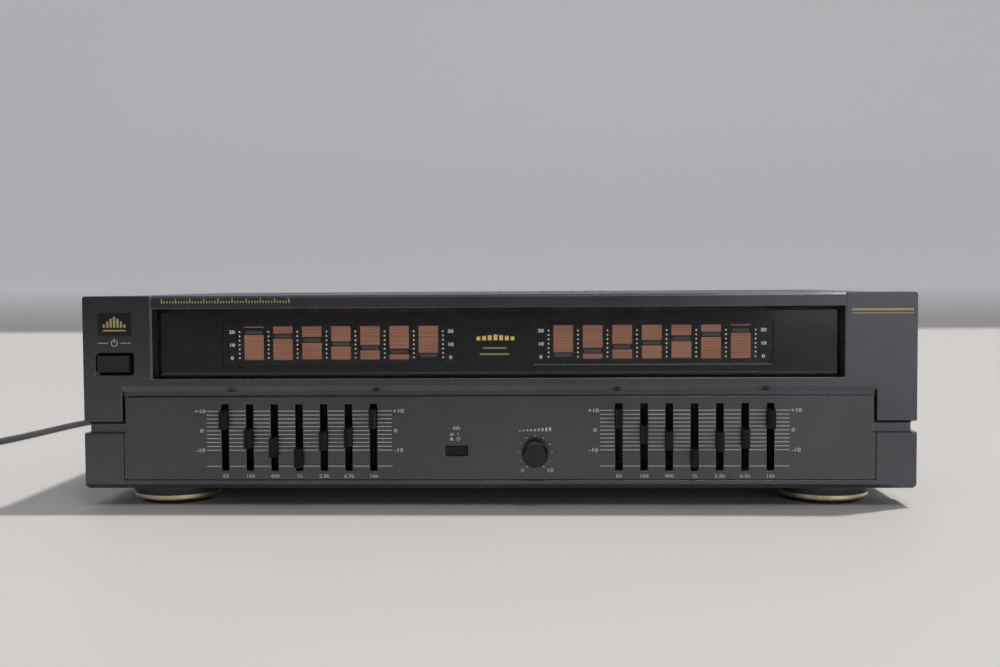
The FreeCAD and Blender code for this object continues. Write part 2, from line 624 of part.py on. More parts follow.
def feet():
    """Round feet: moulded body, bright ring, soft pad, and the screw that holds each."""
    ring_top = "(pad_height + ring_height)"
    bore = "(screw_radius + screw_play)"
    turned_feet("foot_bodies", [
        (bore, "pad_height + foot_web"), ("foot_recess", "pad_height + foot_web"),
        ("foot_recess", "pad_height"),
        ("ring_inner", "pad_height"), ("ring_inner", ring_top), ("ring_radius", ring_top),
        ("foot_radius", "foot_height - foot_edge"), ("foot_radius", "foot_height"), (bore, "foot_height"),
    ])
    turned_feet("foot_rings", [
        ("ring_inner", "pad_height"), ("ring_radius - 2 * ring_round", "pad_height"),
        ("ring_radius - ring_round / 2", "pad_height + ring_round"),
        ("ring_radius", "pad_height + 2 * ring_round"),
        ("ring_radius", ring_top), ("ring_inner", ring_top),
    ])
    turned_feet("foot_pads", [
        ("pad_bore", "0"), ("pad_radius - pad_edge", "0"), ("pad_radius", "pad_edge"),
        ("pad_radius", "pad_height"),
        ("pad_bore", "pad_height"),
    ])
    items = []
    for index, (x, y) in enumerate(foot_places()):
        start = (x, y, "pad_height + foot_web - screw_head")
        items.append(screw(f"foot_{index}", "z", start, "foot_height - pad_height"))
    node("foot_screws", group("foot_screws", items))


# ---- controls ----------------------------------------------------------------------------

def power_control():
    """Power button with its push rod, and the mains switch that the rod works."""
    cap = middle_box("power_cap", "power_x", "power_z", "power_width", "power_height",
                     f"{FRONT} - power_reach", "power_reach + power_inside")
    DOC.recompute()
    face = number(f"{FRONT} - power_reach")
    rim = edges_where(cap.Shape, lambda mid, way: abs(mid.y - face) < 0.01)
    button = DOC.addObject("Part::Chamfer", "power_button")
    button.Base = cap
    button.Edges = [(edge, DRIVING["panel_gap"], DRIVING["panel_gap"]) for edge in rim]
    node("power_button", button)
    rod_start = f"({FRONT} + power_inside)"
    node("power_push_rod", middle_box("power_push_rod", "power_x", "power_z", "rod_side", "rod_side",
                                      rod_start, "rod_length"))
    housing = middle_box("switch_housing", "power_x", "power_z", "switch_width", "switch_height",
                         "-switch_start", "switch_length")
    bore = middle_box("switch_bore", "power_x", "power_z", "rod_side + 2 * button_play",
                      "rod_side + 2 * button_play", "-switch_start", "switch_bore")
    node("power_switch", cut("power_switch", housing, [bore]))
    height = "power_z - switch_height / 2 - foot_height - steel"
    inner = "(post_width - 2 * post_wall)"
    base = box("switch_post", ("power_x - post_width / 2", "-switch_start + post_wall", TRAY_TOP),
               ("post_width", "post_length", height))
    slot = box("switch_post_hollow", (f"power_x - {inner} / 2", "-switch_start", TRAY_TOP),
               (inner, "post_length + 2 * post_wall", f"{height} - post_wall"))
    node("switch_bracket", cut("switch_bracket", base, [slot]))


def eq_control():
    """Small push button that switches the equalizer in and out, and its switch."""
    face = f"({PANEL_FACE} - panel_gap)"
    cap = middle_box("eq_cap", "eq_x", "eq_z", "eq_hole_width - 2 * button_play",
                     "eq_hole_height - 2 * button_play", face, "eq_length")
    stem = middle_box("eq_stem_bar", "eq_x", "eq_z", "eq_stem_side", "eq_stem_side",
                      f"{face} + eq_length", "eq_stem")
    node("eq_button", fuse("eq_button", [cap, stem]))
    start = f"({BOARD_FACE} - eq_switch_depth)"
    housing = middle_box("eq_housing", "eq_x", "eq_z", "eq_switch_width", "eq_switch_height", start,
                         "eq_switch_depth")
    bore = middle_box("eq_bore", "eq_x", "eq_z", "eq_stem_side + 2 * button_play",
                      "eq_stem_side + 2 * button_play", start, "eq_bore_depth")
    node("eq_switch", cut("eq_switch", housing, [bore]))


def level_control():
    """Turned knob with a pointer notch, its shaft, and the rotary control behind it."""
    body = new_body("level_knob")
    sketch = new_sketch(body, "knob_profile", "XY_Plane")
    base = f"({PANEL_FACE} - panel_gap)"
    face = f"({base} - knob_length)"
    outline(sketch, [
        ("shaft_radius", base), ("knob_radius", base), ("knob_radius", f"{base} - knob_bevel"),
        ("knob_radius - knob_taper", f"{face} + knob_bevel"), ("knob_face", face), ("0", face),
        ("0", f"{base} - knob_bore_depth"), ("shaft_radius", f"{base} - knob_bore_depth"),
    ])
    revolve(body, "knob_turned", sketch)
    notch = new_sketch(body, "knob_notch", offset=f"-({face} - 1)")
    rectangle(notch, "0", "knob_face", "pointer_width", "2 * pointer_width")
    pocket(body, "knob_pointer", notch, "1 + pointer_depth")
    place(body, ("knob_x", "0", "knob_z"))
    node("level_knob", body)
    shaft_start = f"({base} - knob_bore_depth)"
    shaft_end = f"({BOARD_FACE} - shaft_rest)"
    node("level_shaft", cylinder("level_shaft", "y", ("knob_x", shaft_start, "knob_z"), "shaft_radius",
                                 f"{shaft_end} - {shaft_start}"))
    pot_face = f"({BOARD_FACE} - pot_depth)"
    housing = middle_box("pot_housing", "knob_x", "knob_z", "pot_side", "pot_side", pot_face, "pot_depth")
    bush = cylinder("pot_bush", "y", ("knob_x", f"{pot_face} - bush_length", "knob_z"), "bush_radius",
                    "bush_length")
    bore = cylinder("pot_bore", "y", ("knob_x", f"{pot_face} - bush_length", "knob_z"),
                    "shaft_radius + shaft_play", "bush_length + pot_bore_depth")
    node("level_pot", cut("level_pot", fuse("pot_solid", [housing, bush]), [bore]))


def slot_x(side, index):
    """Expression for the x of one slider slot."""
    sign = "-" if side == "left" else ""
    return f"({sign}slot_centre + ({index} - 3) * slot_pitch)"


def sliders():
    """Slide controls on the board, and a lever with its cap for each."""
    housings = []
    face = f"({PANEL_FACE} - cap_gap - cap_length)"
    cap_back = f"({PANEL_FACE} - cap_gap)"
    slide_face = f"({BOARD_FACE} - slide_depth)"
    for side, settings in SETTINGS.items():
        for index, (band, setting) in enumerate(zip(BANDS, settings)):
            x = slot_x(side, index)
            z = f"(slot_z + {setting})"
            tag = f"{side}_{band}"
            body = middle_box(f"slide_{tag}", x, "slot_z", "slide_width", "slide_length", slide_face,
                              "slide_depth")
            channel = middle_box(f"channel_{tag}", x, "slot_z", "channel_width", "channel_length", slide_face,
                                 "channel_depth")
            housings.append(cut(f"housing_{tag}", body, [channel]))
            lever = middle_box(f"lever_{tag}", x, z, "lever_width", "lever_height",
                               f"{cap_back} - lever_grip", "lever_grip + lever_inside")
            near = (f"{x} - cap_face_width / 2", f"{x} + cap_face_width / 2",
                    f"{z} - cap_face_height / 2", f"{z} + cap_face_height / 2")
            far = (f"{x} - cap_width / 2", f"{x} + cap_width / 2",
                   f"{z} - cap_height / 2", f"{z} + cap_height / 2")
            cap = wedge(f"cap_block_{tag}", near, far, face, "cap_length")
            capped = cut(f"cap_{tag}", cap, [lever])
            node(f"slider_{tag}", group(f"slider_{tag}", [capped, lever]))
    node("slide_controls", group("slide_controls", housings))


# ---- electronics -------------------------------------------------------------------------

def boards():
    """Control board, display board with its two tubes, and the main board on standoffs."""
    node("control_board", box("control_board", ("-board_width / 2", BOARD_FACE, "board_low"),
                              ("board_width", "board_thick", "board_height")))
    node("display_board", box("display_board", ("-board_width / 2", f"{BOARD_FACE} - 1", "window_low"),
                              ("board_width", "board_thick", "window_high - window_low")))
    tubes = []
    for name, sign in (("left", "-"), ("right", "")):
        middle = "(tube_low + tube_high) / 2"
        tubes.append(middle_box(f"tube_{name}", f"{sign}tube_centre", middle, "tube_width",
                                "(tube_high - tube_low)", f"{FRONT} + tube_back", "tube_depth"))
    node("display_tubes", group("display_tubes", tubes))
    board_z = f"({TRAY_TOP} + standoff_height)"
    corner = ("main_board_x - main_board_width / 2", "main_board_y - main_board_length / 2", board_z)
    plate = box("main_plate", corner, ("main_board_width", "main_board_length", "board_thick"))
    holes, posts, screws = [], [], []
    for index, (u, v) in enumerate(((-1, -1), (1, -1), (-1, 1), (1, 1))):
        x = f"main_board_x + {u} * (main_board_width / 2 - hole_inset)"
        y = f"main_board_y + {v} * (main_board_length / 2 - hole_inset)"
        holes.append(cylinder(f"board_hole_{index}", "z", (x, y, board_z), "screw_radius + screw_play",
                              "board_thick"))
        post = cylinder(f"post_{index}", "z", (x, y, TRAY_TOP), "standoff_radius", "standoff_height")
        thread = cylinder(f"post_thread_{index}", "z", (x, y, f"{TRAY_TOP} + thread_rise"),
                          "screw_radius + screw_play", "standoff_height")
        posts.append(cut(f"standoff_{index}", post, [thread]))
        start = (x, y, f"{board_z} + board_thick + screw_head")
        screws.append(screw(f"board_{index}", "z", start, "board_screw", flip=True))
    node("main_board", cut("main_board", plate, holes))
    node("board_standoffs", group("board_standoffs", posts))
    node("board_screws", group("board_screws", screws))


def board_parts():
    """Capacitors, chips, the regulator's heat sink, the fuse and the flat cables."""
    top = f"({TRAY_TOP} + standoff_height + board_thick)"
    large = [cylinder(f"reservoir_{index}", "z", (f"parts_x + {index} * reservoir_pitch", "reservoir_y", top),
                      "reservoir_radius", "reservoir_height") for index in range(2)]
    small = [cylinder(f"coupling_{index}", "z", (f"coupling_x + {index} * coupling_pitch", "coupling_y", top),
                      "coupling_radius", "coupling_height") for index in range(6)]
    node("capacitors", group("capacitors", large + small))
    chips = []
    for column in range(4):
        for row in range(2):
            corner = (f"parts_x + {column} * chip_pitch_x", f"chip_y + {row} * chip_pitch_y",
                      f"{top} + chip_rise")
            chips.append(box(f"chip_{column}_{row}", corner, ("chip_length", "chip_width", "chip_height")))
    node("ic_packages", group("ic_packages", chips))
    plate = box("sink_block", ("sink_x", "sink_y", top), ("sink_width", "sink_depth", "sink_height"))
    gaps = [box(f"sink_gap_{index}",
                (f"sink_x + sink_wall + {index} * sink_pitch", "sink_y + sink_wall", top),
                ("sink_gap", "sink_depth", "sink_height")) for index in range(5)]
    node("heat_sink", cut("heat_sink", plate, gaps))
    low_y = "fuse_y - holder_width / 2"
    axis_z = f"{TRAY_TOP} + fuse_rise"
    holder = box("fuse_base", ("fuse_x - holder_length / 2", low_y, TRAY_TOP),
                 ("holder_length", "holder_width", "holder_height"))
    cradle = cylinder("fuse_cradle", "x", ("fuse_x - fuse_length / 2 - 1", "fuse_y", axis_z),
                      "fuse_radius + screw_play", "fuse_length + 2")
    node("fuse_holder", cut("fuse_holder", holder, [cradle]))
    node("fuse", cylinder("fuse", "x", ("fuse_x - fuse_length / 2", "fuse_y", axis_z), "fuse_radius",
                          "fuse_length"))
    strips = []
    start = f"({BOARD_FACE} + board_thick)"
    reach = f"(main_board_y - main_board_length / 2 + hole_inset - {start})"
    for index in range(2):
        x = f"cable_x + {index} * cable_pitch"
        level = box(f"cable_level_{index}", (x, start, "cable_z"), ("cable_width", reach, "cable_thick"))
        drop = box(f"cable_drop_{index}", (x, f"{start} + {reach} - cable_thick", top),
                   ("cable_width", "cable_thick", f"cable_z - {top}"))
        strips.append(fuse(f"cable_{index}", [level, drop]))
    node("ribbon_cables", group("ribbon_cables", strips))


def transformer():
    """Mains transformer: laminated core, winding round its middle leg, and bracket."""
    base = f"({TRAY_TOP} + steel)"
    middle = f"({base} + core_height / 2)"
    start = "(core_y - core_stack / 2)"
    block = middle_box("core_block", "core_x", middle, "core_width", "core_height", start, "core_stack")
    offset = "(core_leg / 2 + core_window / 2)"
    windows = [middle_box(f"core_window_{name}", f"(core_x {sign} {offset})", middle, "core_window",
                          "core_window_height", start, "core_stack")
               for name, sign in (("a", "-"), ("b", "+"))]
    node("transformer_core", cut("transformer_core", block, windows))
    winding_start = f"({start} - coil_overhang)"
    outer = middle_box("winding_block", "core_x", middle, "(core_leg + 2 * core_window - 1)",
                       "(core_window_height - 1)", winding_start, "core_stack + 2 * coil_overhang")
    leg = middle_box("winding_leg", "core_x", middle, "core_leg", "core_height", start, "core_stack")
    node("transformer_winding", cut("transformer_winding", outer, [leg]))
    plate = middle_box("bracket_plate", "core_x", f"({TRAY_TOP} + steel / 2)",
                       "(core_width + 4 * bracket_hole)", "steel", start, "core_stack")
    holes = [cylinder(f"bracket_hole_{name}", "z",
                      (f"core_x {sign} (core_width / 2 + bracket_hole)", "core_y", TRAY_TOP),
                      "screw_radius + screw_play", "steel") for name, sign in (("a", "-"), ("b", "+"))]
    node("transformer_bracket", cut("transformer_bracket", plate, holes))


def rear_sockets():
    """Phono sockets: insulating blocks behind the rear panel and bright shells outside."""
    blocks, shells = [], []
    for pair in range(2):
        places = jack_places()[4 * pair:4 * pair + 4]
        width = "jack_pitch - 1"
        start = f"({REAR_INNER} - block_depth)"
        low = "jack_z - jack_row / 2"
        body = box(f"jack_body_{pair}", (f"{places[0][0]} - ({width}) / 2", start, low),
                   (f"jack_pitch + {width}", "block_depth", "2 * jack_row"))
        collars = [cylinder(f"collar_{pair}_{index}", "y", (x, REAR_INNER, z), "collar_radius",
                            "steel + collar_reach") for index, (x, z) in enumerate(places)]
        bores = [cylinder(f"contact_{pair}_{index}", "y", (x, f"{REAR_INNER} - contact_depth", z),
                          "contact_radius", "contact_depth + steel + 2 * collar_reach")
                 for index, (x, z) in enumerate(places)]
        blocks.append(cut(f"jack_block_{pair}", fuse(f"jack_solid_{pair}", [body] + collars), bores))
        for index, (x, z) in enumerate(places):
            outside = (x, f"{REAR} + collar_reach", z)
            tube = cylinder(f"shell_{pair}_{index}", "y", outside, "jack_radius", "reach - collar_reach")
            hollow = cylinder(f"shell_bore_{pair}_{index}", "y", outside, "jack_bore", "reach - collar_reach")
            shells.append(cut(f"socket_{pair}_{index}", tube, [hollow]))
    node("jack_blocks", group("jack_blocks", blocks))
    node("jack_shells", group("jack_shells", shells))


# ---- mains lead --------------------------------------------------------------------------

def tangent_path(points, name):
    """Straight runs joined by tangent arcs as large as their shorter run allows."""
    corners = [Vector(*point) for point in points]
    edges = []
    radii = []
    start = corners[0]
    for before, corner, after in zip(corners, corners[1:], corners[2:]):
        incoming = (corner - before).normalize()
        outgoing = (after - corner).normalize()
        turn = incoming.getAngle(outgoing)
        setback = 0.45 * min((corner - before).Length, (after - corner).Length)
        radius = setback / math.tan(turn / 2)
        radii.append(round(radius, 1))
        entry = corner - incoming * setback
        leave = corner + outgoing * setback
        inward = (outgoing - incoming).normalize()
        centre = corner + inward * (radius / math.cos(turn / 2))
        middle = centre - inward * radius
        edges.append(Part.LineSegment(start, entry).toShape())
        edges.append(Part.Arc(entry, middle, leave).toShape())
        start = leave
    edges.append(Part.LineSegment(start, corners[-1]).toShape())
    wire = Part.Wire(edges)
    print(f"{name}: length {wire.Length:.1f} mm, smallest radius {min(radii)} mm, radii {radii}")
    return wire


def round_tube(wire, diameter, name):
    """A round solid swept along a path, with its volume compared with its length."""
    start = wire.Edges[0].Vertexes[0].Point
    direction = wire.Edges[0].tangentAt(wire.Edges[0].FirstParameter)
    section = Part.Wire([Part.Circle(start, direction, diameter / 2).toShape()])
    tube = wire.makePipeShell([section], True, False)
    expected = math.pi * diameter ** 2 / 4 * wire.Length
    print(f"{name}: volume {tube.Volume:.0f} of {expected:.0f} mm3")
    return tube


def mains_lead():
    """Strain relief, lead, the coil of its spare length with a tie, and a two-pin plug."""
    exit_at = ("cord_exit_x", "cord_exit_z")
    inside = (exit_at[0], f"{REAR_INNER} - relief_flange", exit_at[1])
    flange = cylinder("relief_head", "y", inside, "relief_radius", "relief_flange")
    neck = cylinder("relief_collar", "y", (exit_at[0], REAR_INNER, exit_at[1]), "relief_neck", "steel")
    sleeve = cone("relief_sleeve", "y", (exit_at[0], REAR, exit_at[1]), "relief_radius", "relief_tip",
                  "relief_length")
    bore = cylinder("relief_bore", "y", inside, "cord_diameter / 2", "relief_length")
    node("strain_relief", cut("strain_relief", fuse("relief_solid", [flange, neck, sleeve]), [bore]))

    diameter = number("cord_diameter")
    tubes = []
    for name, route in (("lead", LEAD_ROUTE), ("tail", TAIL_ROUTE)):
        tube = DOC.addObject("Part::Feature", f"{name}_tube")
        tube.Shape = round_tube(tangent_path(route, name), diameter, name)
        tube.Placement = Placement()
        tubes.append(tube)

    body = new_body("cord_coil")
    sketch = new_sketch(body, "coil_section")
    outer, inner = "(coil_radius + cord_diameter)", "(coil_radius - cord_diameter)"
    top = "(coil_layers * cord_diameter)"
    outline(sketch, [
        (inner, "1"), (f"{inner} + 1", "0"), (f"{outer} - 1", "0"), (outer, "1"), (outer, f"{top} - 1"),
        (f"{outer} - 1", top), ("coil_radius", top), (inner, f"{top} - cord_diameter"),
    ])
    revolve(body, "coil_turned", sketch)
    place(body, ("coil_x", "coil_y", "0"))
    reach = "(2 * cord_diameter + 2 * tie_thick + edge_gap)"
    height = "(coil_layers * cord_diameter + tie_thick)"
    tie_x = "(coil_x + coil_radius - cord_diameter - tie_thick - edge_gap)"
    strap = box("tie_block", (tie_x, "coil_y - tie_width / 2", "0"), (reach, "tie_width", height))
    hollow = box("tie_hollow", (f"{tie_x} + tie_thick", "coil_y - tie_width / 2", "tie_thick"),
                 (f"{reach} - 2 * tie_thick", "tie_width", f"{height} - 2 * tie_thick"))
    tie = cut("coil_tie", strap, [hollow])
    room = box("tie_room", (tie_x, "coil_y - tie_width / 2", "-1"), (reach, "tie_width", "tie_thick + 1"))
    room_top = box("tie_room_top", (tie_x, "coil_y - tie_width / 2", f"{height} - tie_thick"),
                   (reach, "tie_width", "2 * tie_thick"))
    coil = cut("cord_coil", body, [room, room_top])
    node("mains_cord", group("mains_cord", tubes))
    node("cord_coil", coil)
    node("coil_tie", tie)

    plug = new_body("mains_plug")
    axis_z = "plug_thick / 2"
    profile = new_sketch(plug, "plug_outline", "XY_Plane")
    half, back, length = "plug_width / 2", "plug_back / 2", "plug_length"
    outline(profile, [
        (f"-{back}", "0"), (back, "0"), (half, "plug_back"), (half, f"{length} - plug_corner"),
        (f"{half} - plug_corner", length), (f"-{half} + plug_corner", length),
        (f"-{half}", f"{length} - plug_corner"), (f"-{half}", "plug_back"),
    ])
    pad(plug, "plug_body", profile, "plug_thick", reverse=False)
    node("mains_plug", plug)
    end_x, end_y = TAIL_ROUTE[-1][:2]
    place(plug, (str(end_x), str(end_y), "0"))
    pins = [cylinder(f"pin_{index}", "y",
                     (f"{end_x} + {sign} * pin_spread", f"{end_y} + plug_length", axis_z),
                     "pin_radius", "pin_length") for index, sign in enumerate((-1, 1))]
    node("plug_pins", group("plug_pins", pins))


def check_document():
    """Stop if any object failed or any sub-part has no valid solid."""
    for item in DOC.Objects:
        if {"Invalid", "Error"} & set(item.State):
            raise RuntimeError(f"{item.Name} failed: {item.State}")
    for item in NODES:
        if item.Shape.isNull() or not item.Shape.isValid() or not item.Shape.Solids:
            raise RuntimeError(f"{item.Label} has no valid solid")


def export_nodes():
    """Write one STEP file per sub-part."""
    os.makedirs("parts", exist_ok=True)
    for item in NODES:
        item.Shape.exportStep(f"parts/{item.Label}.step")
        print(f"{item.Label}: {len(item.Shape.Solids)} solids, {item.Shape.Volume / 1000:.2f} cm3")


def main():
    """Build every sub-part, check the document and export it."""
    fill_sheet()
    for build in (front_bezel, control_panel, display_window, badge_plate, top_cover, base_tray, rear_panel,
                  cover_screws, feet, power_control, eq_control, level_control, sliders, boards, board_parts,
                  transformer, rear_sockets, mains_lead):
        build()
    DOC.recompute()
    check_document()
    export_nodes()


main()
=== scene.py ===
"""The looks of a graphic equalizer: finishes, printed marks, display, mains lead, lights and camera."""

import logging
import math
from dataclasses import dataclass
from enum import Enum
from typing import Union

import bmesh
import bpy
from mathutils import Matrix, Vector


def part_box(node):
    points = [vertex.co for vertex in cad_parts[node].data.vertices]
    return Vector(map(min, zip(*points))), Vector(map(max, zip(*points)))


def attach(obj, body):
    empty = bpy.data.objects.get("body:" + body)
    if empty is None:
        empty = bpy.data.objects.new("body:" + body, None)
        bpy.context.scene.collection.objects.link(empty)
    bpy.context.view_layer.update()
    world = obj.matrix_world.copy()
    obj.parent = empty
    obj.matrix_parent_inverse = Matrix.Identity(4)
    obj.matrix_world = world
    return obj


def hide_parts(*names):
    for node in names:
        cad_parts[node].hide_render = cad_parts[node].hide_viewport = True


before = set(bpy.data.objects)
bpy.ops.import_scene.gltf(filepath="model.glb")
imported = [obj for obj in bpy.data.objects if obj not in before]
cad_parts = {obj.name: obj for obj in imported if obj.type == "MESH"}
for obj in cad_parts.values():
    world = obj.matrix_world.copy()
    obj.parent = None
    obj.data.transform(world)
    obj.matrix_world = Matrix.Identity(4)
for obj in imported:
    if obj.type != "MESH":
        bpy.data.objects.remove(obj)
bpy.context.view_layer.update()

LOG = logging.getLogger("equalizer")
MM = 0.001
KNOB_CENTRE = (20.35, 28.2)
Colour = tuple[float, float, float]
Flat = tuple[float, float]
Point = tuple[float, float, float]


def tint(red: int, green: int, blue: int) -> Colour:
    """Turns a colour of 0 to 255 as seen on a screen into the linear one that shaders use.

    Args:
        red: Red, 0 to 255.
        green: Green, 0 to 255.
        blue: Blue, 0 to 255.

    Returns:
        The linear colour, 0 to 1.
    """
    shares = [part / 255 for part in (red, green, blue)]
    return tuple(part / 12.92 if part <= 0.04045 else ((part + 0.055) / 1.055) ** 2.4 for part in shares)


def shade(colour: Colour, gain: float, lift: float = 0.0) -> Colour:
    """Multiplies a linear colour, then adds to it, and holds it at 1."""
    return tuple(min(1.0, part * gain + lift) for part in colour)


# ---- shader expressions -------------------------------------------------------------------


class Wire:
    """One socket of a finish's nodes, whose operators add Math nodes."""

    def __init__(self, tree: "Tree", socket: bpy.types.NodeSocket) -> None:
        """Keeps the socket and the tree it is in."""
        self.tree = tree
        self.socket = socket

    def __add__(self, other: "Number") -> "Wire":
        """This socket plus a number or another socket."""
        return self.tree.maths("ADD", self, other)

    def __sub__(self, other: "Number") -> "Wire":
        """This socket less a number or another socket."""
        return self.tree.maths("SUBTRACT", self, other)

    def __rsub__(self, other: "Number") -> "Wire":
        """A number less this socket."""
        return self.tree.maths("SUBTRACT", other, self)

    def __mul__(self, other: "Number") -> "Wire":
        """This socket times a number or another socket."""
        return self.tree.maths("MULTIPLY", self, other)

    __radd__ = __add__
    __rmul__ = __mul__


Number = Union[float, Wire]
Value = Union[float, Colour, Wire]
MIX_SHARE, MIX_FIRST, MIX_SECOND, MIX_RESULT = 0, 6, 7, 2
BEVEL_SAMPLES = 6


class Tree:
    """The nodes of one material or of the surround."""

    def __init__(self, name: str, kept: bpy.types.bpy_prop_collection = bpy.data.materials) -> None:
        """Starts without nodes.

        Args:
            name: The name of the new material or world.
            kept: Where it is kept.
        """
        self.made = kept.new(name)
        self.made.use_nodes = True
        self.nodes = self.made.node_tree.nodes
        self.links = self.made.node_tree.links
        self.nodes.clear()

    def add(self, kind: str, settings: dict | None = None, sockets: dict | None = None,
            out: Union[int, str] = 0) -> Wire:
        """Adds one node.

        Args:
            kind: The node's type, without its ShaderNode prefix.
            settings: The node's own properties, set first.
            sockets: Values or wires for its inputs, by name or number.
            out: The output wanted, by name or number.

        Returns:
            The wanted output.
        """
        node = self.nodes.new("ShaderNode" + kind)
        for name, value in (settings or {}).items():
            setattr(node, name, value)
        for name, value in (sockets or {}).items():
            socket = node.inputs[name]
            if isinstance(value, Wire):
                self.links.new(value.socket, socket)
            elif socket.type == "RGBA" and len(value) == 3:
                socket.default_value = (*value, 1)
            else:
                socket.default_value = value
        return Wire(self, node.outputs[out] if node.outputs else None)

    def maths(self, operation: str, first: Number, second: Number = 0.0, clamp: bool = False) -> Wire:
        """Adds a Math node of that operation on two values."""
        return self.add("Math", {"operation": operation, "use_clamp": clamp}, {0: first, 1: second})

    def spread(self, value: Wire, low: float, high: float) -> Wire:
        """Stretches a value so that low becomes 0 and high becomes 1, and holds it there."""
        return self.add("MapRange", {"clamp": True}, {"Value": value, "From Min": low, "From Max": high})

    def places(self) -> Wire:
        """The point of the part in metres, which moves with its body."""
        return self.add("TexCoord", out="Object")

    def along(self, axis: str) -> Wire:
        """One coordinate of the point, X, Y or Z."""
        return self.add("SeparateXYZ", sockets={0: self.places()}, out=axis)

    def grain(self, size: float, detail: float = 2.0, stretch: Point = (1, 1, 1)) -> Wire:
        """Adds noise.

        Args:
            size: How large its blotches are, in millimetres.
            detail: How many finer octaves it has.
            stretch: How much longer the blotches are along each axis.

        Returns:
            A value from 0 to 1, mostly near the middle.
        """
        scale = tuple(1 / (size * MM * part) for part in stretch)
        place = self.add("Mapping", sockets={"Vector": self.places(), "Scale": scale})
        return self.add("TexNoise", sockets={"Vector": place, "Scale": 1.0, "Detail": detail})

    def mix(self, share: Number, first: Value, second: Value) -> Wire:
        """Mixes two colours: share 0 gives the first and 1 the second."""
        sockets = {MIX_SHARE: share, MIX_FIRST: first, MIX_SECOND: second}
        return self.add("Mix", {"data_type": "RGBA"}, sockets, out=MIX_RESULT)

    def edges(self, radius: float, gain: float) -> Wire:
        """Finds sharp edges.

        Args:
            radius: How far from an edge counts, in millimetres.
            gain: How quickly the mask reaches 1.

        Returns:
            A mask, 1 on sharp edges and 0 on flat faces.
        """
        rounded = self.add("Bevel", {"samples": BEVEL_SAMPLES}, {"Radius": radius * MM})
        plain = self.add("NewGeometry", out="Normal")
        agree = self.add("VectorMath", {"operation": "DOT_PRODUCT"}, {0: rounded, 1: plain}, out="Value")
        return self.maths("MULTIPLY", 1 - agree, gain, clamp=True)

    def bump(self, height: Wire, depth: float, strength: float = 1.0, edge: float = 0.0) -> Wire:
        """Makes a bumpy normal.

        Args:
            height: The relief, 0 to 1.
            depth: What 1 stands for, in millimetres.
            strength: How much of it shows.
            edge: The radius that sharp edges are softened to, in millimetres.

        Returns:
            The normal.
        """
        sockets = {"Height": height, "Distance": depth * MM, "Strength": strength}
        if edge:
            sockets["Normal"] = self.add("Bevel", {"samples": BEVEL_SAMPLES}, {"Radius": edge * MM})
        return self.add("Bump", sockets=sockets)

    def surface(self, sockets: dict[str, Value]) -> bpy.types.Material:
        """Ends the material with a Principled shader that has these sockets."""
        shader = self.add("BsdfPrincipled", sockets=sockets)
        self.add("OutputMaterial", sockets={"Surface": shader})
        return self.made


# ---- finishes -----------------------------------------------------------------------------


@dataclass(frozen=True)
class FlakePaint:
    """Dark paint with fine metal flakes over a moulding or sheet, paler along its edges from wear and from a
    painted highlight.
    """

    name: str
    colour: Colour
    # The pale colour is that of the dust and of the painted highlight on the edges.
    pale: Colour
    metallic: float = 0.6
    roughness: float = 0.4
    flake: float = 0.35
    relief: float = 0.006
    # How much the edges pale, from wear and from a painted highlight.
    wear_and_painted_highlight: float = 0.35
    blotch: float = 38.0
    dust: float = 2.2
    drift: float = 0.18
    edge_radius: float = 0.3

    def material(self) -> bpy.types.Material:
        """Makes the paint: flakes and slow drift in colour, a fine relief, and pale edges that are part wear
        and part painted highlight.
        """
        tree = Tree(self.name)
        flakes = tree.grain(self.flake, 1)
        cloud = tree.grain(self.blotch, 3)
        dust = tree.spread(tree.grain(self.dust, 4), 0.62, 0.8)
        darker, lighter = shade(self.colour, 1 - self.drift), shade(self.colour, 1 + self.drift)
        colour = tree.mix(tree.spread(flakes + (cloud - 0.5) * 0.5, 0.3, 0.7), darker, lighter)
        colour = tree.mix(dust * 0.08, colour, self.pale)
        # Pale edges: partly wear, partly a painted highlight.
        colour = tree.mix(tree.edges(self.edge_radius, 4) * self.wear_and_painted_highlight, colour, self.pale)
        return tree.surface({
            "Base Color": colour,
            "Metallic": self.metallic,
            "Roughness": tree.spread(flakes, 0.2, 0.8) * 0.12 + (cloud * 0.1 + (self.roughness - 0.11)),
            "Normal": tree.bump(flakes, self.relief, 0.5, 0.4),
        })


@dataclass(frozen=True)
class Moulding:
    """Moulded plastic or rubber: a spark-eroded grain, slow mottling and a painted highlight on its edges."""

    name: str
    colour: Colour
    roughness: float = 0.45
    grain: float = 0.25
    relief: float = 0.01
    mottle: float = 0.12
    edge: float = 0.2
    # How far the edges are painted paler, as a highlight.
    painted_edge_highlight: float = 0.15
    gloss: float = 0.5
    blotch: float = 9.0

    def material(self) -> bpy.types.Material:
        """Makes the plastic."""
        tree = Tree(self.name)
        grain = tree.grain(self.grain, 2)
        cloud = tree.grain(self.blotch, 3)
        dusty = shade(self.colour, 1 + self.mottle, 0.012)
        clean = shade(self.colour, 1 - self.mottle)
        edge = tree.edges(self.edge, 3)
        # Painted highlight: the edges are mixed towards a paler copy of the colour.
        pale = shade(self.colour, 1.6, 0.03)
        colour = tree.mix(edge * self.painted_edge_highlight, tree.mix(cloud, clean, dusty), pale)
        return tree.surface({
            "Base Color": colour,
            "Roughness": cloud * 0.14 + (self.roughness - 0.07) - edge * 0.08,
            "Specular IOR Level": self.gloss,
            "Normal": tree.bump(grain, self.relief, 0.6, self.edge),
        })


class Lay(Enum):
    """Which way the marks of a metal's making run."""

    ROLLED = (40.0, 1.0, 1.0)
    DRAWN = (1.0, 40.0, 1.0)
    TURNED = (12.0, 12.0, 0.35)
    CAST = (1.0, 1.0, 1.0)


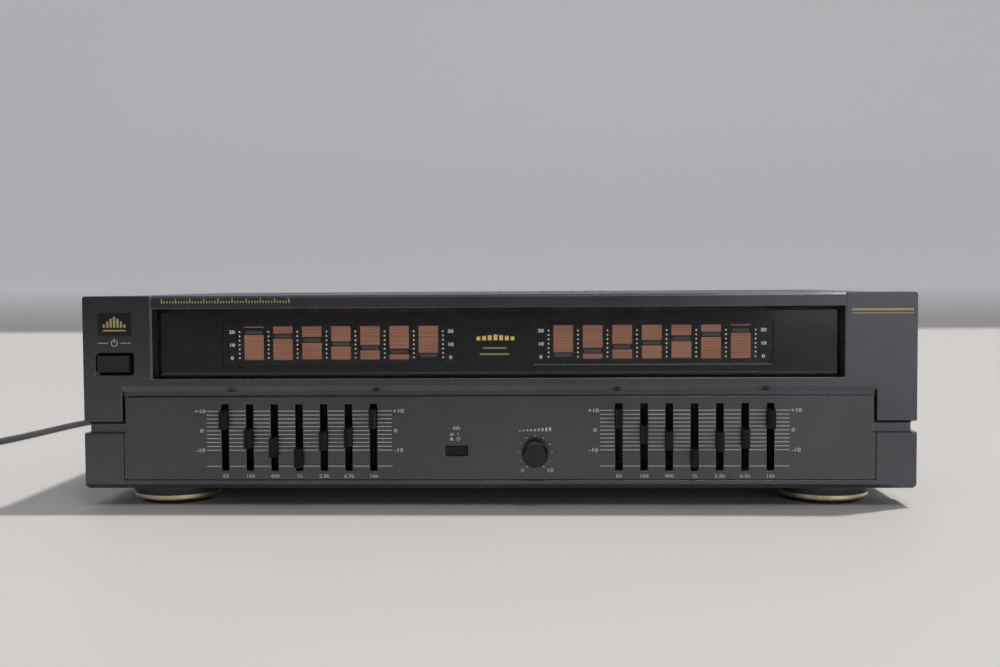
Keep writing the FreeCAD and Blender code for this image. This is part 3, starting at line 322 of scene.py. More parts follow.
@dataclass(frozen=True)
class Metal:
    """Bare, plated or polished metal with the marks of its making, faint tarnish, and brighter edges that are
    part wear and part painted highlight.
    """

    name: str
    colour: Colour
    roughness: float = 0.25
    lay: Lay = Lay.CAST
    mark: float = 0.15
    relief: float = 0.004
    tarnish: float = 0.25
    blotch: float = 7.0
    edge_radius: float = 0.2

    def material(self) -> bpy.types.Material:
        """Makes the metal."""
        tree = Tree(self.name)
        marks = tree.grain(self.mark, 2, self.lay.value)
        cloud = tree.spread(tree.grain(self.blotch, 4), 0.35, 0.7)
        dull = shade(self.colour, (1 - self.tarnish) * 0.8)
        colour = tree.mix(cloud * self.tarnish, self.colour, dull)
        # Brighter edges: partly wear, partly a painted highlight.
        colour = tree.mix(tree.edges(self.edge_radius, 3) * 0.4, colour, shade(self.colour, 1.25))
        half = 0.5 * self.roughness
        return tree.surface({
            "Base Color": colour,
            "Metallic": 1.0,
            "Roughness": cloud * (0.4 * self.roughness) + marks * half + half,
            "Normal": tree.bump(marks, self.relief, 0.5, 0.12),
        })


@dataclass(frozen=True)
class Laminate:
    """Printed board: resin-bonded paper with darker tracks under its lacquer."""

    name: str
    colour: Colour
    track: Colour
    fibre: float = 0.6
    cell: float = 7.0

    def material(self) -> bpy.types.Material:
        """Makes the board."""
        tree = Tree(self.name)
        fibres = tree.grain(self.fibre, 3, (4, 4, 1))
        cells = tree.add("TexVoronoi", {"distance": "MANHATTAN", "feature": "F1"},
                         {"Vector": tree.places(), "Scale": 1 / (self.cell * MM)})
        tracks = tree.maths("GREATER_THAN", tree.maths("PINGPONG", cells * 9, 1.0), 0.55)
        colour = tree.mix(fibres * 0.5, self.colour, shade(self.colour, 0.7))
        return tree.surface({
            "Base Color": tree.mix(tracks * 0.6, colour, self.track),
            "Roughness": fibres * 0.2 + 0.3,
            "Normal": tree.bump(tracks, 0.03, 0.6),
        })


@dataclass(frozen=True)
class SmokedPane:
    """Dark see-through acrylic with a hard gloss and a faint haze."""

    name: str
    colour: Colour
    dark: float
    haze: float = 25.0

    def material(self) -> bpy.types.Material:
        """Makes the pane, which lets through 1 - dark of the light at each face."""
        tree = Tree(self.name)
        haze = tree.grain(self.haze, 3)
        return tree.surface({
            "Base Color": tree.mix(haze, self.colour, shade(self.colour, 1.5)),
            "Roughness": haze * 0.05 + 0.02,
            "IOR": 1.49,
            "Alpha": self.dark,
        })


@dataclass(frozen=True)
class Ink:
    """A printed or foiled mark, a little uneven where it was laid on, with a glow, where one is given, that
    is painted light.
    """

    name: str
    colour: Colour
    metallic: float = 0.0
    roughness: float = 0.5
    # The glow is painted light; the mark is no lamp.
    glow: float = 0.0
    patch: float = 0.4

    def material(self) -> bpy.types.Material:
        """Makes the ink."""
        tree = Tree(self.name)
        thin = tree.spread(tree.grain(self.patch, 2), 0.25, 0.75)
        colour = tree.mix(thin * 0.35, self.colour, shade(self.colour, 0.7))
        return tree.surface({
            "Base Color": colour,
            "Metallic": self.metallic,
            "Roughness": thin * 0.15 + self.roughness,
            # Painted light: the mark glows by the glow setting.
            "Emission Color": colour,
            "Emission Strength": self.glow,
            "Normal": tree.bump(thin, 0.004, 0.4),
        })


@dataclass(frozen=True)
class Phosphor:
    """Copper-orange segments behind their grid: even columns crossed by fine brighter and darker lines, with
    a glow that is painted light making up for the dark pane in front.
    """

    name: str
    bright: Colour
    deep: Colour
    glow: float
    wire: float = 0.55
    blotch: float = 30.0

    def material(self) -> bpy.types.Material:
        """Makes the segments."""
        tree = Tree(self.name)
        lines = tree.spread(tree.grain(self.wire, 2, (60, 1, 1)), 0.34, 0.66)
        cloud = tree.spread(tree.grain(self.blotch, 2), 0.35, 0.65)
        colour = tree.mix(lines * 0.65 + cloud * 0.35, self.deep, self.bright)
        return tree.surface({
            "Base Color": colour,
            "Roughness": lines * 0.2 + 0.4,
            # Painted light: the glow makes up for the dark pane in front.
            "Emission Color": colour,
            "Emission Strength": self.glow,
            "Normal": tree.bump(lines, 0.01, 0.3),
        })


@dataclass(frozen=True)
class Knob:
    """Black plastic with a polished bevel round a satin face."""

    name: str
    colour: Colour
    centre: Flat
    satin_radius: float
    bevel: float = 0.3

    def material(self) -> bpy.types.Material:
        """Makes the knob's plastic, satin inside the radius and polished outside it."""
        tree = Tree(self.name)
        grain = tree.grain(0.2, 2)
        across = tree.along("X") - self.centre[0] * MM
        upward = tree.along("Z") - self.centre[1] * MM
        reach = tree.maths("SQRT", across * across + upward * upward)
        polished = tree.spread(reach, self.satin_radius * MM, (self.satin_radius + self.bevel) * MM)
        smudge = tree.spread(tree.grain(4, 3), 0.4, 0.7)
        return tree.surface({
            "Base Color": tree.mix(smudge, self.colour, shade(self.colour, 1.5, 0.004)),
            "Roughness": (1 - polished) * 0.2 + smudge * 0.08 + 0.16,
            "Coat Weight": polished * 0.6,
            "Normal": tree.bump(grain, 0.008, 0.4, 0.15),
        })


@dataclass(frozen=True)
class Backdrop:
    """Matt pale table top, made a little darker far in front and more so to the left by painted shade, that
    turns up into a paler wall with a painted glow.
    """

    name: str
    table: Colour
    wall: Colour
    painted_wall_glow: float
    turn: float = 0.1
    blotch: float = 240.0
    speck: float = 3.0
    painted_shade_span: Flat = (-0.4, -1.8)
    slant: float = 0.6

    def material(self) -> bpy.types.Material:
        """Makes the table and wall."""
        tree = Tree(self.name)
        rise = tree.spread(tree.along("Z"), 0.0, self.turn)
        cloud = tree.grain(self.blotch, 2)
        speck = tree.spread(tree.grain(self.speck, 2), 0.7, 0.78)
        table = tree.mix(speck * (1 - rise) * 0.12, self.table, (0.1, 0.1, 0.1))
        # Painted shade: the table darkens a little far in front and more so to the left.
        far = tree.spread(tree.along("Y") + tree.along("X") * self.slant, *self.painted_shade_span)
        colour = tree.mix(rise, tree.mix(far * 0.4, table, (0.05, 0.05, 0.06)), self.wall)
        return tree.surface({
            "Base Color": colour,
            "Roughness": cloud * 0.2 + 0.45,
            # Painted light: the wall glows.
            "Emission Color": tree.mix(rise, (0.0, 0.0, 0.0), self.wall),
            "Emission Strength": self.painted_wall_glow,
            "Normal": tree.bump(cloud, 0.05, 0.1),
        })


Finish = Union[FlakePaint, Moulding, Metal, Laminate, SmokedPane, Knob]

# ---- mesh helpers -------------------------------------------------------------------------


def dress(names: list[str], finish: Finish) -> None:
    """Gives nodes of the frame one finish.

    Args:
        names: The nodes.
        finish: What they are finished in.
    """
    made = finish.material()
    for name in names:
        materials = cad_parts[name].data.materials
        materials.clear()
        materials.append(made)
        LOG.info("dressed %s in %s", name, finish.name)


def piece(name: str, mesh: bmesh.types.BMesh, body: str, made: bpy.types.Material,
          smooth: bool = False) -> bpy.types.Object:
    """Turns a built mesh into a piece that rides on a body.

    Args:
        name: The piece's name.
        mesh: Its mesh, in metres in the frame; it is freed.
        body: The body it moves with.
        made: Its material.
        smooth: True to shade it smooth.

    Returns:
        The piece.
    """
    bmesh.ops.recalc_face_normals(mesh, faces=mesh.faces)
    for face in mesh.faces:
        face.smooth = smooth
    data = bpy.data.meshes.new(name)
    mesh.to_mesh(data)
    mesh.free()
    data.materials.append(made)
    thing = bpy.data.objects.new(name, data)
    bpy.context.scene.collection.objects.link(thing)
    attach(thing, body)
    LOG.info("built %s on %s", name, body)
    return thing


def lathe(mesh: bmesh.types.BMesh, profile: list[Flat], centre: Flat, sides: int = 32) -> None:
    """Turns a closed profile round an axis that runs front to back.

    Args:
        mesh: What the turned shape is added to.
        profile: Radius and depth of each corner in millimetres, in order round the section.
        centre: The axis, across and up in millimetres.
        sides: How many facets it has round.
    """
    rings = []
    for step in range(sides):
        angle = 2 * math.pi * step / sides
        rings.append([mesh.verts.new(((centre[0] + radius * math.cos(angle)) * MM, depth * MM,
                                      (centre[1] + radius * math.sin(angle)) * MM))
                      for radius, depth in profile])
    for step, ring in enumerate(rings):
        following = rings[(step + 1) % sides]
        for index in range(len(profile)):
            after = (index + 1) % len(profile)
            mesh.faces.new((ring[index], ring[after], following[after], following[index]))


class Marks:
    """Thin flat shapes on one plane that faces the front, gathered into one mesh. Sizes are millimetres."""

    def __init__(self, face: float, proud: float = 0.04, sunk: float = 0.03) -> None:
        """Starts with no shapes.

        Args:
            face: How far back the surface is that they lie on.
            proud: How far they stand in front of it.
            sunk: How far they reach into it.
        """
        self.front = face - proud
        self.back = face + sunk
        self.mesh = bmesh.new()

    def shape(self, corners: list[Flat]) -> None:
        """Adds a flat shape from its corners, across and up, in order."""
        front = [self.mesh.verts.new((x * MM, self.front * MM, z * MM)) for x, z in corners]
        back = [self.mesh.verts.new((x * MM, self.back * MM, z * MM)) for x, z in corners]
        self.mesh.faces.new(front)
        self.mesh.faces.new(reversed(back))
        for index in range(len(corners)):
            after = (index + 1) % len(corners)
            self.mesh.faces.new((front[index], back[index], back[after], front[after]))

    def bar(self, left: float, right: float, low: float, high: float) -> None:
        """Adds an upright rectangle."""
        self.shape([(left, low), (right, low), (right, high), (left, high)])

    def comb(self, left: float, low: float, pitch: float, width: float, rises: list[float]) -> None:
        """Adds a row of upright bars on one foot.

        Args:
            left: Left edge of the first bar.
            low: Height of their foot.
            pitch: From one bar to the next.
            width: Width of a bar.
            rises: How far each bar stands above the foot.
        """
        for step, rise in enumerate(rises):
            edge = left + step * pitch
            self.bar(edge, edge + width, low, low + rise)

    def dot(self, x: float, z: float, radius: float, sides: int = 14) -> None:
        """Adds a round dot."""
        turn = 2 * math.pi / sides
        self.shape([(x + radius * math.cos(turn * step), z + radius * math.sin(turn * step))
                    for step in range(sides)])

    def arc(self, x: float, z: float, radius: float, stroke: float, start: float, sweep: float) -> None:
        """Adds part of a ring.

        Args:
            x: Its centre across.
            z: Its centre's height.
            radius: Radius at the middle of the stroke.
            stroke: Width of the stroke.
            start: The angle it starts at, in degrees.
            sweep: How far it goes round, in degrees, less than a full turn.
        """
        steps = max(6, round(sweep / 12))
        angles = [math.radians(start + sweep * step / steps) for step in range(steps + 1)]
        outer, inner = radius + stroke / 2, radius - stroke / 2
        rim = [(x + outer * math.cos(angle), z + outer * math.sin(angle)) for angle in angles]
        bore = [(x + inner * math.cos(angle), z + inner * math.sin(angle)) for angle in reversed(angles)]
        self.shape(rim + bore)

    def words(self, text: str, x: float, z: float, height: float, stretch: float = 1.35) -> None:
        """Adds figures or signs of a plain typeface.

        Args:
            text: What is written.
            x: Their middle across.
            z: Their middle's height.
            height: Height of a figure.
            stretch: How much wider than normal they are.
        """
        curve = bpy.data.curves.new("figures", "FONT")
        curve.body = text
        curve.size = height * MM / 0.7
        curve.align_x = "CENTER"
        curve.resolution_u = 3
        curve.extrude = (self.back - self.front) / 2 * MM
        curve.offset = height * 0.025 * MM
        writer = bpy.data.objects.new("figures", curve)
        bpy.context.scene.collection.objects.link(writer)
        bpy.context.view_layer.update()
        data = bpy.data.meshes.new_from_object(writer.evaluated_get(bpy.context.evaluated_depsgraph_get()))
        middle = (self.front + self.back) / 2
        data.transform(Matrix.Translation((x * MM, middle * MM, (z - height / 2) * MM))
                       @ Matrix.Rotation(math.pi / 2, 4, "X") @ Matrix.Diagonal((stretch, 1, 1, 1)))
        self.mesh.from_mesh(data)
        bpy.data.objects.remove(writer)
        bpy.data.curves.remove(curve)
        bpy.data.meshes.remove(data)

    def done(self, name: str, made: bpy.types.Material) -> None:
        """Ends the gathering and makes the piece, which rides on the case."""
        piece(name, self.mesh, "case", made)


# ---- sub-assemblies -----------------------------------------------------------------------

BANDS = ("63", "160", "400", "1k", "2.5k", "6.3k", "16k")


@dataclass
class Fascia:
    """The moulded front, its control panel and everything printed on both. Sizes are millimetres."""

    group_x: float = 102.2
    slot_pitch: float = 12.92
    slot_half: float = 2.0
    slot_gap: float = 0.15
    scale_half: float = 48.4
    scale_top: float = 49.87
    scale_step: float = 2.041
    scale_rows: int = 11
    scale_foot: float = 21.1
    line: float = 0.36
    figure: float = 1.9
    figure_shift: float = 3.4
    zero_shifts: Flat = (2.6, 1.9)
    band_height: float = 16.0
    dial_radius: float = 8.7
    dial_dots: int = 11
    dial_start: float = -60.0
    dial_step: float = 30.0
    switch_rows: Flat = (37.7, 35.2)
    standby_height: float = 85.6
    rule_ends: Flat = (182.0, 213.0)
    emblem: Flat = (-198.1, 95.3)

    def __post_init__(self) -> None:
        """Finds the faces that the printing lies on."""
        self.panel_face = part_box("control_panel")[0].y / MM
        self.front_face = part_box("front_bezel")[0].y / MM
        self.badge_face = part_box("badge_plate")[0].y / MM
        self.white = Ink("scale_white", tint(225, 225, 228), roughness=0.45).material()
        self.gold = Ink("gold_foil", tint(206, 188, 138), metallic=0.35, roughness=0.4).material()

    def dress(self) -> None:
        """Finishes the mouldings."""
        # The second colours give dust and the pale edges, which are part wear and part painted highlight.
        dress(["front_bezel"], FlakePaint(
            "graphite_paint", tint(91, 92, 97), tint(226, 227, 231), metallic=0.95, roughness=0.25, wear_and_painted_highlight=0.6))
        dress(["control_panel"], FlakePaint(
            "panel_paint", tint(89, 90, 93), tint(218, 219, 223), metallic=0.93, roughness=0.235,
            relief=0.004, wear_and_painted_highlight=0.6))
        dress(["badge_plate"], Moulding(
            "badge_gloss", tint(14, 14, 16), roughness=0.16, grain=1.5, relief=0.002))

    def scales(self) -> None:
        """Prints the ruled scale behind each group of sliders, with its figures."""
        marks = Marks(self.panel_face)
        heights = [self.scale_top - self.scale_step * row for row in range(self.scale_rows)]
        heights.append(self.scale_foot)
        middle_row, last_row = self.scale_rows // 2, self.scale_rows - 1
        for side in (-1, 1):
            middle = side * self.group_x
            slots = [middle + (band - 3) * self.slot_pitch for band in range(len(BANDS))]
            edges = [middle - self.scale_half]
            for slot in slots:
                edges += [slot - self.slot_half - self.slot_gap, slot + self.slot_half + self.slot_gap]
            edges.append(middle + self.scale_half)
            for height in heights:
                for left, right in zip(edges[::2], edges[1::2]):
                    marks.bar(left, right, height - self.line / 2, height + self.line / 2)
            for end, zero_shift in zip((-1, 1), self.zero_shifts):
                for row, text in ((0, "+10"), (middle_row, "0"), (last_row, "-10")):
                    shift = zero_shift if row == middle_row else self.figure_shift
                    marks.words(text, middle + end * (self.scale_half + shift), heights[row], self.figure)
            for slot, text in zip(slots, BANDS):
                marks.words(text, slot, self.band_height, self.figure * 0.9, 1.3)
        marks.done("scale_print", self.white)

    def knob_marks(self) -> None:
        """Prints the dots round the level knob, its end figures and a rising wedge above."""
        marks = Marks(self.panel_face)
        x, z = KNOB_CENTRE
        for step in range(self.dial_dots):
            angle = math.radians(self.dial_start + self.dial_step * step)
            size = 0.46 if step in (0, self.dial_dots - 1) else 0.34
            marks.dot(x + self.dial_radius * math.cos(angle), z + self.dial_radius * math.sin(angle), size)
        below = z - 9.3
        marks.words("0", x - 6.6, below, self.figure)
        marks.words("10", x + 7.6, below, self.figure)
        wedge = [0.4 + 0.2 * step for step in range(9)]
        marks.comb(x - 8.4, z + 11.0, 1.95, 1.1, wedge)
        marks.done("knob_print", self.white)

    def switch_marks(self) -> None:
        """Prints the in and out signs over the small switch and the standby sign over the large one."""
        marks = Marks(self.panel_face)
        x = (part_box("eq_button")[0].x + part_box("eq_button")[1].x) / 2 / MM
        pressed, released = self.switch_rows
        marks.bar(x - 3.6, x - 1.6, pressed - 0.7, pressed - 0.35)
        marks.arc(x - 2.6, pressed - 0.35, 0.75, 0.3, 0, 180)
        marks.bar(x - 3.6, x - 1.6, released - 0.7, released - 0.35)
        marks.bar(x - 3.3, x - 1.9, released - 0.3, released + 0.75)
        marks.bar(x + 0.75, x + 1.05, pressed - 0.75, pressed + 0.8)
        marks.arc(x + 0.9, released, 0.72, 0.3, 91, 358)
        marks.comb(x - 2.0, 40.1, 0.85, 0.45, [1.0, 1.8, 1.3, 2.0, 0.9])
        marks.done("switch_print", self.white)

        marks = Marks(self.front_face)
        low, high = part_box("power_button")
        middle = (low.x + high.x) / 2 / MM
        height = self.standby_height
        marks.arc(middle, height, 1.6, self.line, 118, 304)
        marks.bar(middle - self.line / 2, middle + self.line / 2, height + 0.3, height + 2.4)
        marks.bar(middle - 8.6, middle - 3.4, height - 0.15, height + 0.15)
        marks.bar(middle + 3.4, middle + 8.6, height - 0.15, height + 0.15)
        marks.done("standby_print", self.white)

    def gold_marks(self) -> None:
        """Foils a ruled strip, a plain double rule and the emblem of seven bars."""
        marks = Marks(self.front_face + 0.4)
        marks.comb(-173.6, 106.1, 1.48, 0.62, [2.3 if step % 5 == 0 else 1.2 for step in range(46)])
        marks.done("gold_ruler", self.gold)

        marks = Marks(self.front_face)
        marks.bar(*self.rule_ends, 100.7, 101.7)
        marks.bar(*self.rule_ends, 99.2, 99.6)
        marks.done("gold_rule", self.gold)

        marks = Marks(self.badge_face)
        x, z = self.emblem
        marks.comb(x - 6.0, z - 1.6, 1.8, 1.15, [1.6, 3.2, 4.6, 5.6, 4.6, 3.2, 1.6])
        marks.bar(x - 6.0, x + 5.95, z - 3.5, z - 2.8)
        marks.done("emblem", self.gold)


@dataclass
class Display:
    """The long smoked window with its two level displays. Sizes are millimetres."""

    group_x: float = 81.1
    column_pitch: float = 15.3
    column_half: float = 5.1
    low: float = 76.1
    high: float = 93.5
    first_gap: float = 90.55
    gap_step: float = 2.083
    gap: float = 2.9
    line_pitch: float = 0.79
    line: float = 0.66
    dim_half: float = 4.4
    dim_rise: float = 0.85
    dot_top: float = 90.8
    dot_pitch: float = 2.283
    dot_radius: float = 0.42
    mask_lead: float = 0.9
    mask_edges: tuple[float, ...] = (-176.4, -143.5, -19.5, 19.5, 143.5, 176.4)
    mask_low: float = 67.6
    mask_high: float = 101.9
    tubes_low: float = 72.8
    tubes_high: float = 95.4

    def __post_init__(self) -> None:
        """Finds the faces of the tubes and of the mask in front of them."""
        self.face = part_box("display_tubes")[0].y / MM
        self.mask_face = self.face - self.mask_lead

    def dress(self) -> None:
        """Finishes the window and tubes."""
        dress(["display_window"], SmokedPane("smoked_pane", (0.004, 0.004, 0.0055), 0.06))
        dress(["display_tubes"], Moulding(
            "tube_glass", tint(22, 22, 25), roughness=0.14, grain=3, relief=0.002))

    def mask(self) -> None:
        """Builds the black mask that frames both tubes behind the window."""
        marks = Marks(self.mask_face, 0.0, 0.5)
        edges = self.mask_edges
        marks.bar(edges[0], edges[-1], self.mask_low, self.tubes_low)
        marks.bar(edges[0], edges[-1], self.tubes_high, self.mask_high)
        for left, right in zip(edges[::2], edges[1::2]):
            marks.bar(left, right, self.tubes_low, self.tubes_high)
        made = Moulding("mask_black", tint(12, 12, 15), roughness=0.12, grain=4, relief=0.0005, mottle=0.05)
        marks.done("display_mask", made.material())

    def columns(self) -> None:
        """Builds the lit lines of the fourteen columns, and the dim segment in each one's gap; both glow as
        painted light.
        """
        lit = Marks(self.face, 0.06, 0.02)
        dim = Marks(self.face, 0.06, 0.02)
        for side in (-1, 1):
            for column in range(len(BANDS)):
                middle = side * self.group_x + (column - 3) * self.column_pitch
                place = column if side < 0 else len(BANDS) - 1 - column
                gap = self.first_gap - self.gap_step * place
                self.fill(lit, middle, gap + self.gap / 2, self.high)
                self.fill(lit, middle, self.low, gap - self.gap / 2)
                dim.bar(middle - self.dim_half, middle + self.dim_half,
                        gap - self.dim_rise, gap + self.dim_rise)
        copper = Phosphor("phosphor", tint(186, 134, 108), tint(158, 106, 82), 0.25).material()
        lit.done("display_lit", copper)
        dim.done("display_dim", Ink("dim_segment", tint(84, 80, 84), roughness=0.4, glow=0.12).material())

    def fill(self, marks: Marks, middle: float, low: float, high: float) -> None:
        """Fills part of a column with lines, down from its top.

        Args:
            marks: What the lines are added to.
            middle: The column's middle across.
            low: Where the part ends.
            high: Where it starts.
        """
        too_short, one_line, thinnest = 1.2, 1.8, 0.2
        if high - low < too_short:
            return
        if high - low < one_line:
            low = high - self.line_pitch / 2
        top = high
        while top - low > thinnest:
            bottom = max(low, top - self.line)
            marks.bar(middle - self.column_half, middle + self.column_half, bottom, top)
            top -= self.line_pitch

    def figures(self) -> None:
        """Builds the dots between the columns and the figures at the ends."""
        marks = Marks(self.face, 0.06, 0.02)
        for side in (-1, 1):
            ends = [side * self.group_x + (edge - 3.5) * self.column_pitch for edge in range(8)]
            for x in ends:
                for row in range(7):
                    marks.dot(x, self.dot_top - self.dot_pitch * row, self.dot_radius, 10)
            for x in (ends[0] - 4.0, ends[-1] + 4.0):
                for text, z in (("20", self.dot_top), ("10", 83.9), ("0", 77.1)):
                    marks.words(text, x, z, 1.7, 1.25)
        # The figures glow as painted light.
        marks.done("display_figures", Ink("figure_white", tint(236, 218, 206), glow=0.45).material())

    def window_marks(self) -> None:
        """Foils a row of bars with two rules under it at the middle, and the fine lines low in the window."""
        # Every mark below glows as painted light.
        marks = Marks(self.mask_face, 0.05, 0.02)
        marks.comb(-9.9, 85.9, 2.95, 2.0, [3.0 - abs(step - 3) * 0.35 for step in range(7)])
        gold = Ink("window_gold", tint(240, 200, 110), metallic=0.2, glow=0.3)
        marks.done("window_emblem", gold.material())
        marks = Marks(self.mask_face, 0.05, 0.02)
        marks.bar(-6.6, 5.6, 81.5, 82.3)
        marks.bar(-8.2, 7.0, 78.3, 79.1)
        dull_gold = Ink("window_dull_gold", tint(190, 170, 120), metallic=0.2, glow=0.12)
        marks.done("window_rules", dull_gold.material())
        marks = Marks(self.mask_face, 0.05, 0.02)
        marks.bar(-176.0, 176.0, 69.0, 69.2)
        marks.bar(19.6, 143.4, 72.9, 73.3)
        grey = Ink("window_grey", tint(150, 148, 150), roughness=0.3, glow=0.06)
        marks.done("window_lines", grey.material())


@dataclass
class Controls:
    """The buttons, the level knob and the fourteen sliders. Sizes are millimetres."""

    satin_radius: float = 5.3

    def dress(self) -> None:
        """Finishes what the fingers touch and what carries it."""
        sliders = [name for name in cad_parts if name.startswith("slider_")]
        # The pale edges of the sliders and buttons are a painted highlight.
        dress(sliders, Moulding(
            "slider_black", tint(11, 11, 13), roughness=0.34, grain=0.3, relief=0.002, painted_edge_highlight=0.7, gloss=0.2))
        dress(["power_button"], Moulding("button_black", tint(26, 26, 28), roughness=0.38, painted_edge_highlight=0.6))
        dress(["eq_button"], Moulding("switch_black", tint(14, 14, 16), roughness=0.35, painted_edge_highlight=0.5, gloss=0.3))
        dress(["level_knob"], Knob("knob_black", tint(20, 20, 22), KNOB_CENTRE, self.satin_radius))
        dress(["level_shaft", "power_push_rod"], Metal("bright_steel", tint(200, 202, 206), lay=Lay.DRAWN))
        dress(["power_switch", "eq_switch", "level_pot"], Moulding("switch_cream", tint(205, 200, 182)))
        dress(["switch_bracket"], Metal("zinc_bracket", tint(168, 170, 166), 0.4, Lay.ROLLED, tarnish=0.4))
        dress(["slide_controls"], Metal("slide_steel", tint(52, 53, 56), 0.5, Lay.DRAWN))


@dataclass
class Housing:
    """The sheet-metal case with its feet and screws."""

    def dress(self) -> None:
        """Finishes the sheet metal, the screws and the feet."""
        # Pale edges on these finishes are painted highlights, on the paints partly wear too.
        dress(["top_cover"], FlakePaint("cover_paint", tint(58, 59, 62), tint(150, 152, 156), metallic=0.2,
                                        roughness=0.34, flake=0.7, relief=0.02, wear_and_painted_highlight=0.25))
        dress(["rear_panel"], FlakePaint("rear_paint", tint(46, 47, 50), tint(140, 142, 146), metallic=0.15,
                                         roughness=0.5, flake=0.6, relief=0.02, wear_and_painted_highlight=0.25))
        dress(["base_tray"], Metal("zinc_steel", tint(176, 178, 180), 0.42, Lay.ROLLED, tarnish=0.35))
        dress(["cover_screws"], Metal("black_screw", tint(58, 58, 60), 0.35))
        dress(["foot_screws", "board_screws"], Metal("bright_screw", tint(190, 190, 186), 0.3))
        dress(["foot_bodies"], Moulding("foot_plastic", tint(60, 62, 68), roughness=0.36, painted_edge_highlight=0.3))
        dress(["foot_rings"], Metal("champagne_gold", tint(246, 231, 190), 0.32, Lay.TURNED, tarnish=0.06))
        dress(["foot_pads"], Moulding("pad_rubber", tint(34, 34, 35), roughness=0.8, grain=0.8, relief=0.05))


@dataclass
class Sockets:
    """The phono sockets at the back. Sizes are millimetres."""

    first_x: float = 62.0
    first_z: float = 38.0
    pitch: float = 18.0
    row: float = 16.0
    bore: float = 3.36
    contact: float = 1.7
    throat: float = 1.25
    start: float = 133.0
    end: float = 139.6

    def dress(self) -> None:
        """Finishes the sockets' bodies and shells."""
        dress(["jack_blocks"], Moulding("socket_black", tint(30, 30, 32), roughness=0.5))
        dress(["jack_shells"], Metal("shell_nickel", tint(206, 204, 196), 0.18, Lay.TURNED))

    def inserts(self) -> None:
        """Turns the coloured insulators, pale in the upper row and red in the lower one, and the contacts."""
        tubes = {0: bmesh.new(), 1: bmesh.new()}
        contacts = bmesh.new()
        for column in range(4):
            for row in range(2):
                centre = (self.first_x + self.pitch * column, self.first_z + self.row * row)
                lathe(tubes[row], [(self.contact, self.start), (self.bore, self.start),
                                   (self.bore, self.end - 0.3), (self.bore - 0.3, self.end),
                                   (self.contact + 0.5, self.end), (self.contact, self.end - 0.5)], centre)
                outer, tip = self.contact - 0.02, self.end - 1.2
                lathe(contacts, [(self.throat, self.start), (outer, self.start),
                                 (outer, tip), (self.throat, tip)], centre)
        red = Moulding("insert_red", tint(176, 30, 34), roughness=0.35).material()
        pale = Moulding("insert_white", tint(222, 220, 212), roughness=0.35).material()
        piece("socket_inserts_red", tubes[0], "case", red, smooth=True)
        piece("socket_inserts_white", tubes[1], "case", pale, smooth=True)
        piece("socket_contacts", contacts, "case", Metal("contact_tin", tint(200, 198, 190), 0.25).material())


@dataclass
class Inside:
    """What the case holds: boards, transformer, fuse and wiring."""

    def dress(self) -> None:
        """Finishes every part inside."""
        board = Laminate("brown_board", tint(150, 112, 62), tint(96, 74, 40))
        dress(["control_board", "display_board", "main_board"], board)
        dress(["board_standoffs"], Metal("brass_post", tint(196, 164, 92), 0.3, Lay.TURNED))
        dress(["capacitors"], Moulding("capacitor_sleeve", tint(28, 34, 66), roughness=0.3, grain=1))
        dress(["ic_packages"], Moulding("chip_black", tint(32, 32, 34), roughness=0.6))
        dress(["heat_sink"], Metal("raw_aluminium", tint(190, 192, 194), 0.35, Lay.DRAWN))
        dress(["fuse_holder"], Metal("holder_tin", tint(186, 184, 176), 0.3))
        dress(["fuse"], Moulding("fuse_glass", tint(200, 206, 202), roughness=0.1, grain=2, relief=0.001))
        dress(["ribbon_cables"], Moulding("grey_ribbon", tint(150, 150, 148), roughness=0.5, grain=1.27))
        iron = Metal("core_iron", tint(96, 94, 92), 0.5, Lay.ROLLED)
        dress(["transformer_core", "transformer_bracket"], iron)
        dress(["transformer_winding"], Moulding("winding_tape", tint(196, 156, 60), roughness=0.35, grain=2))


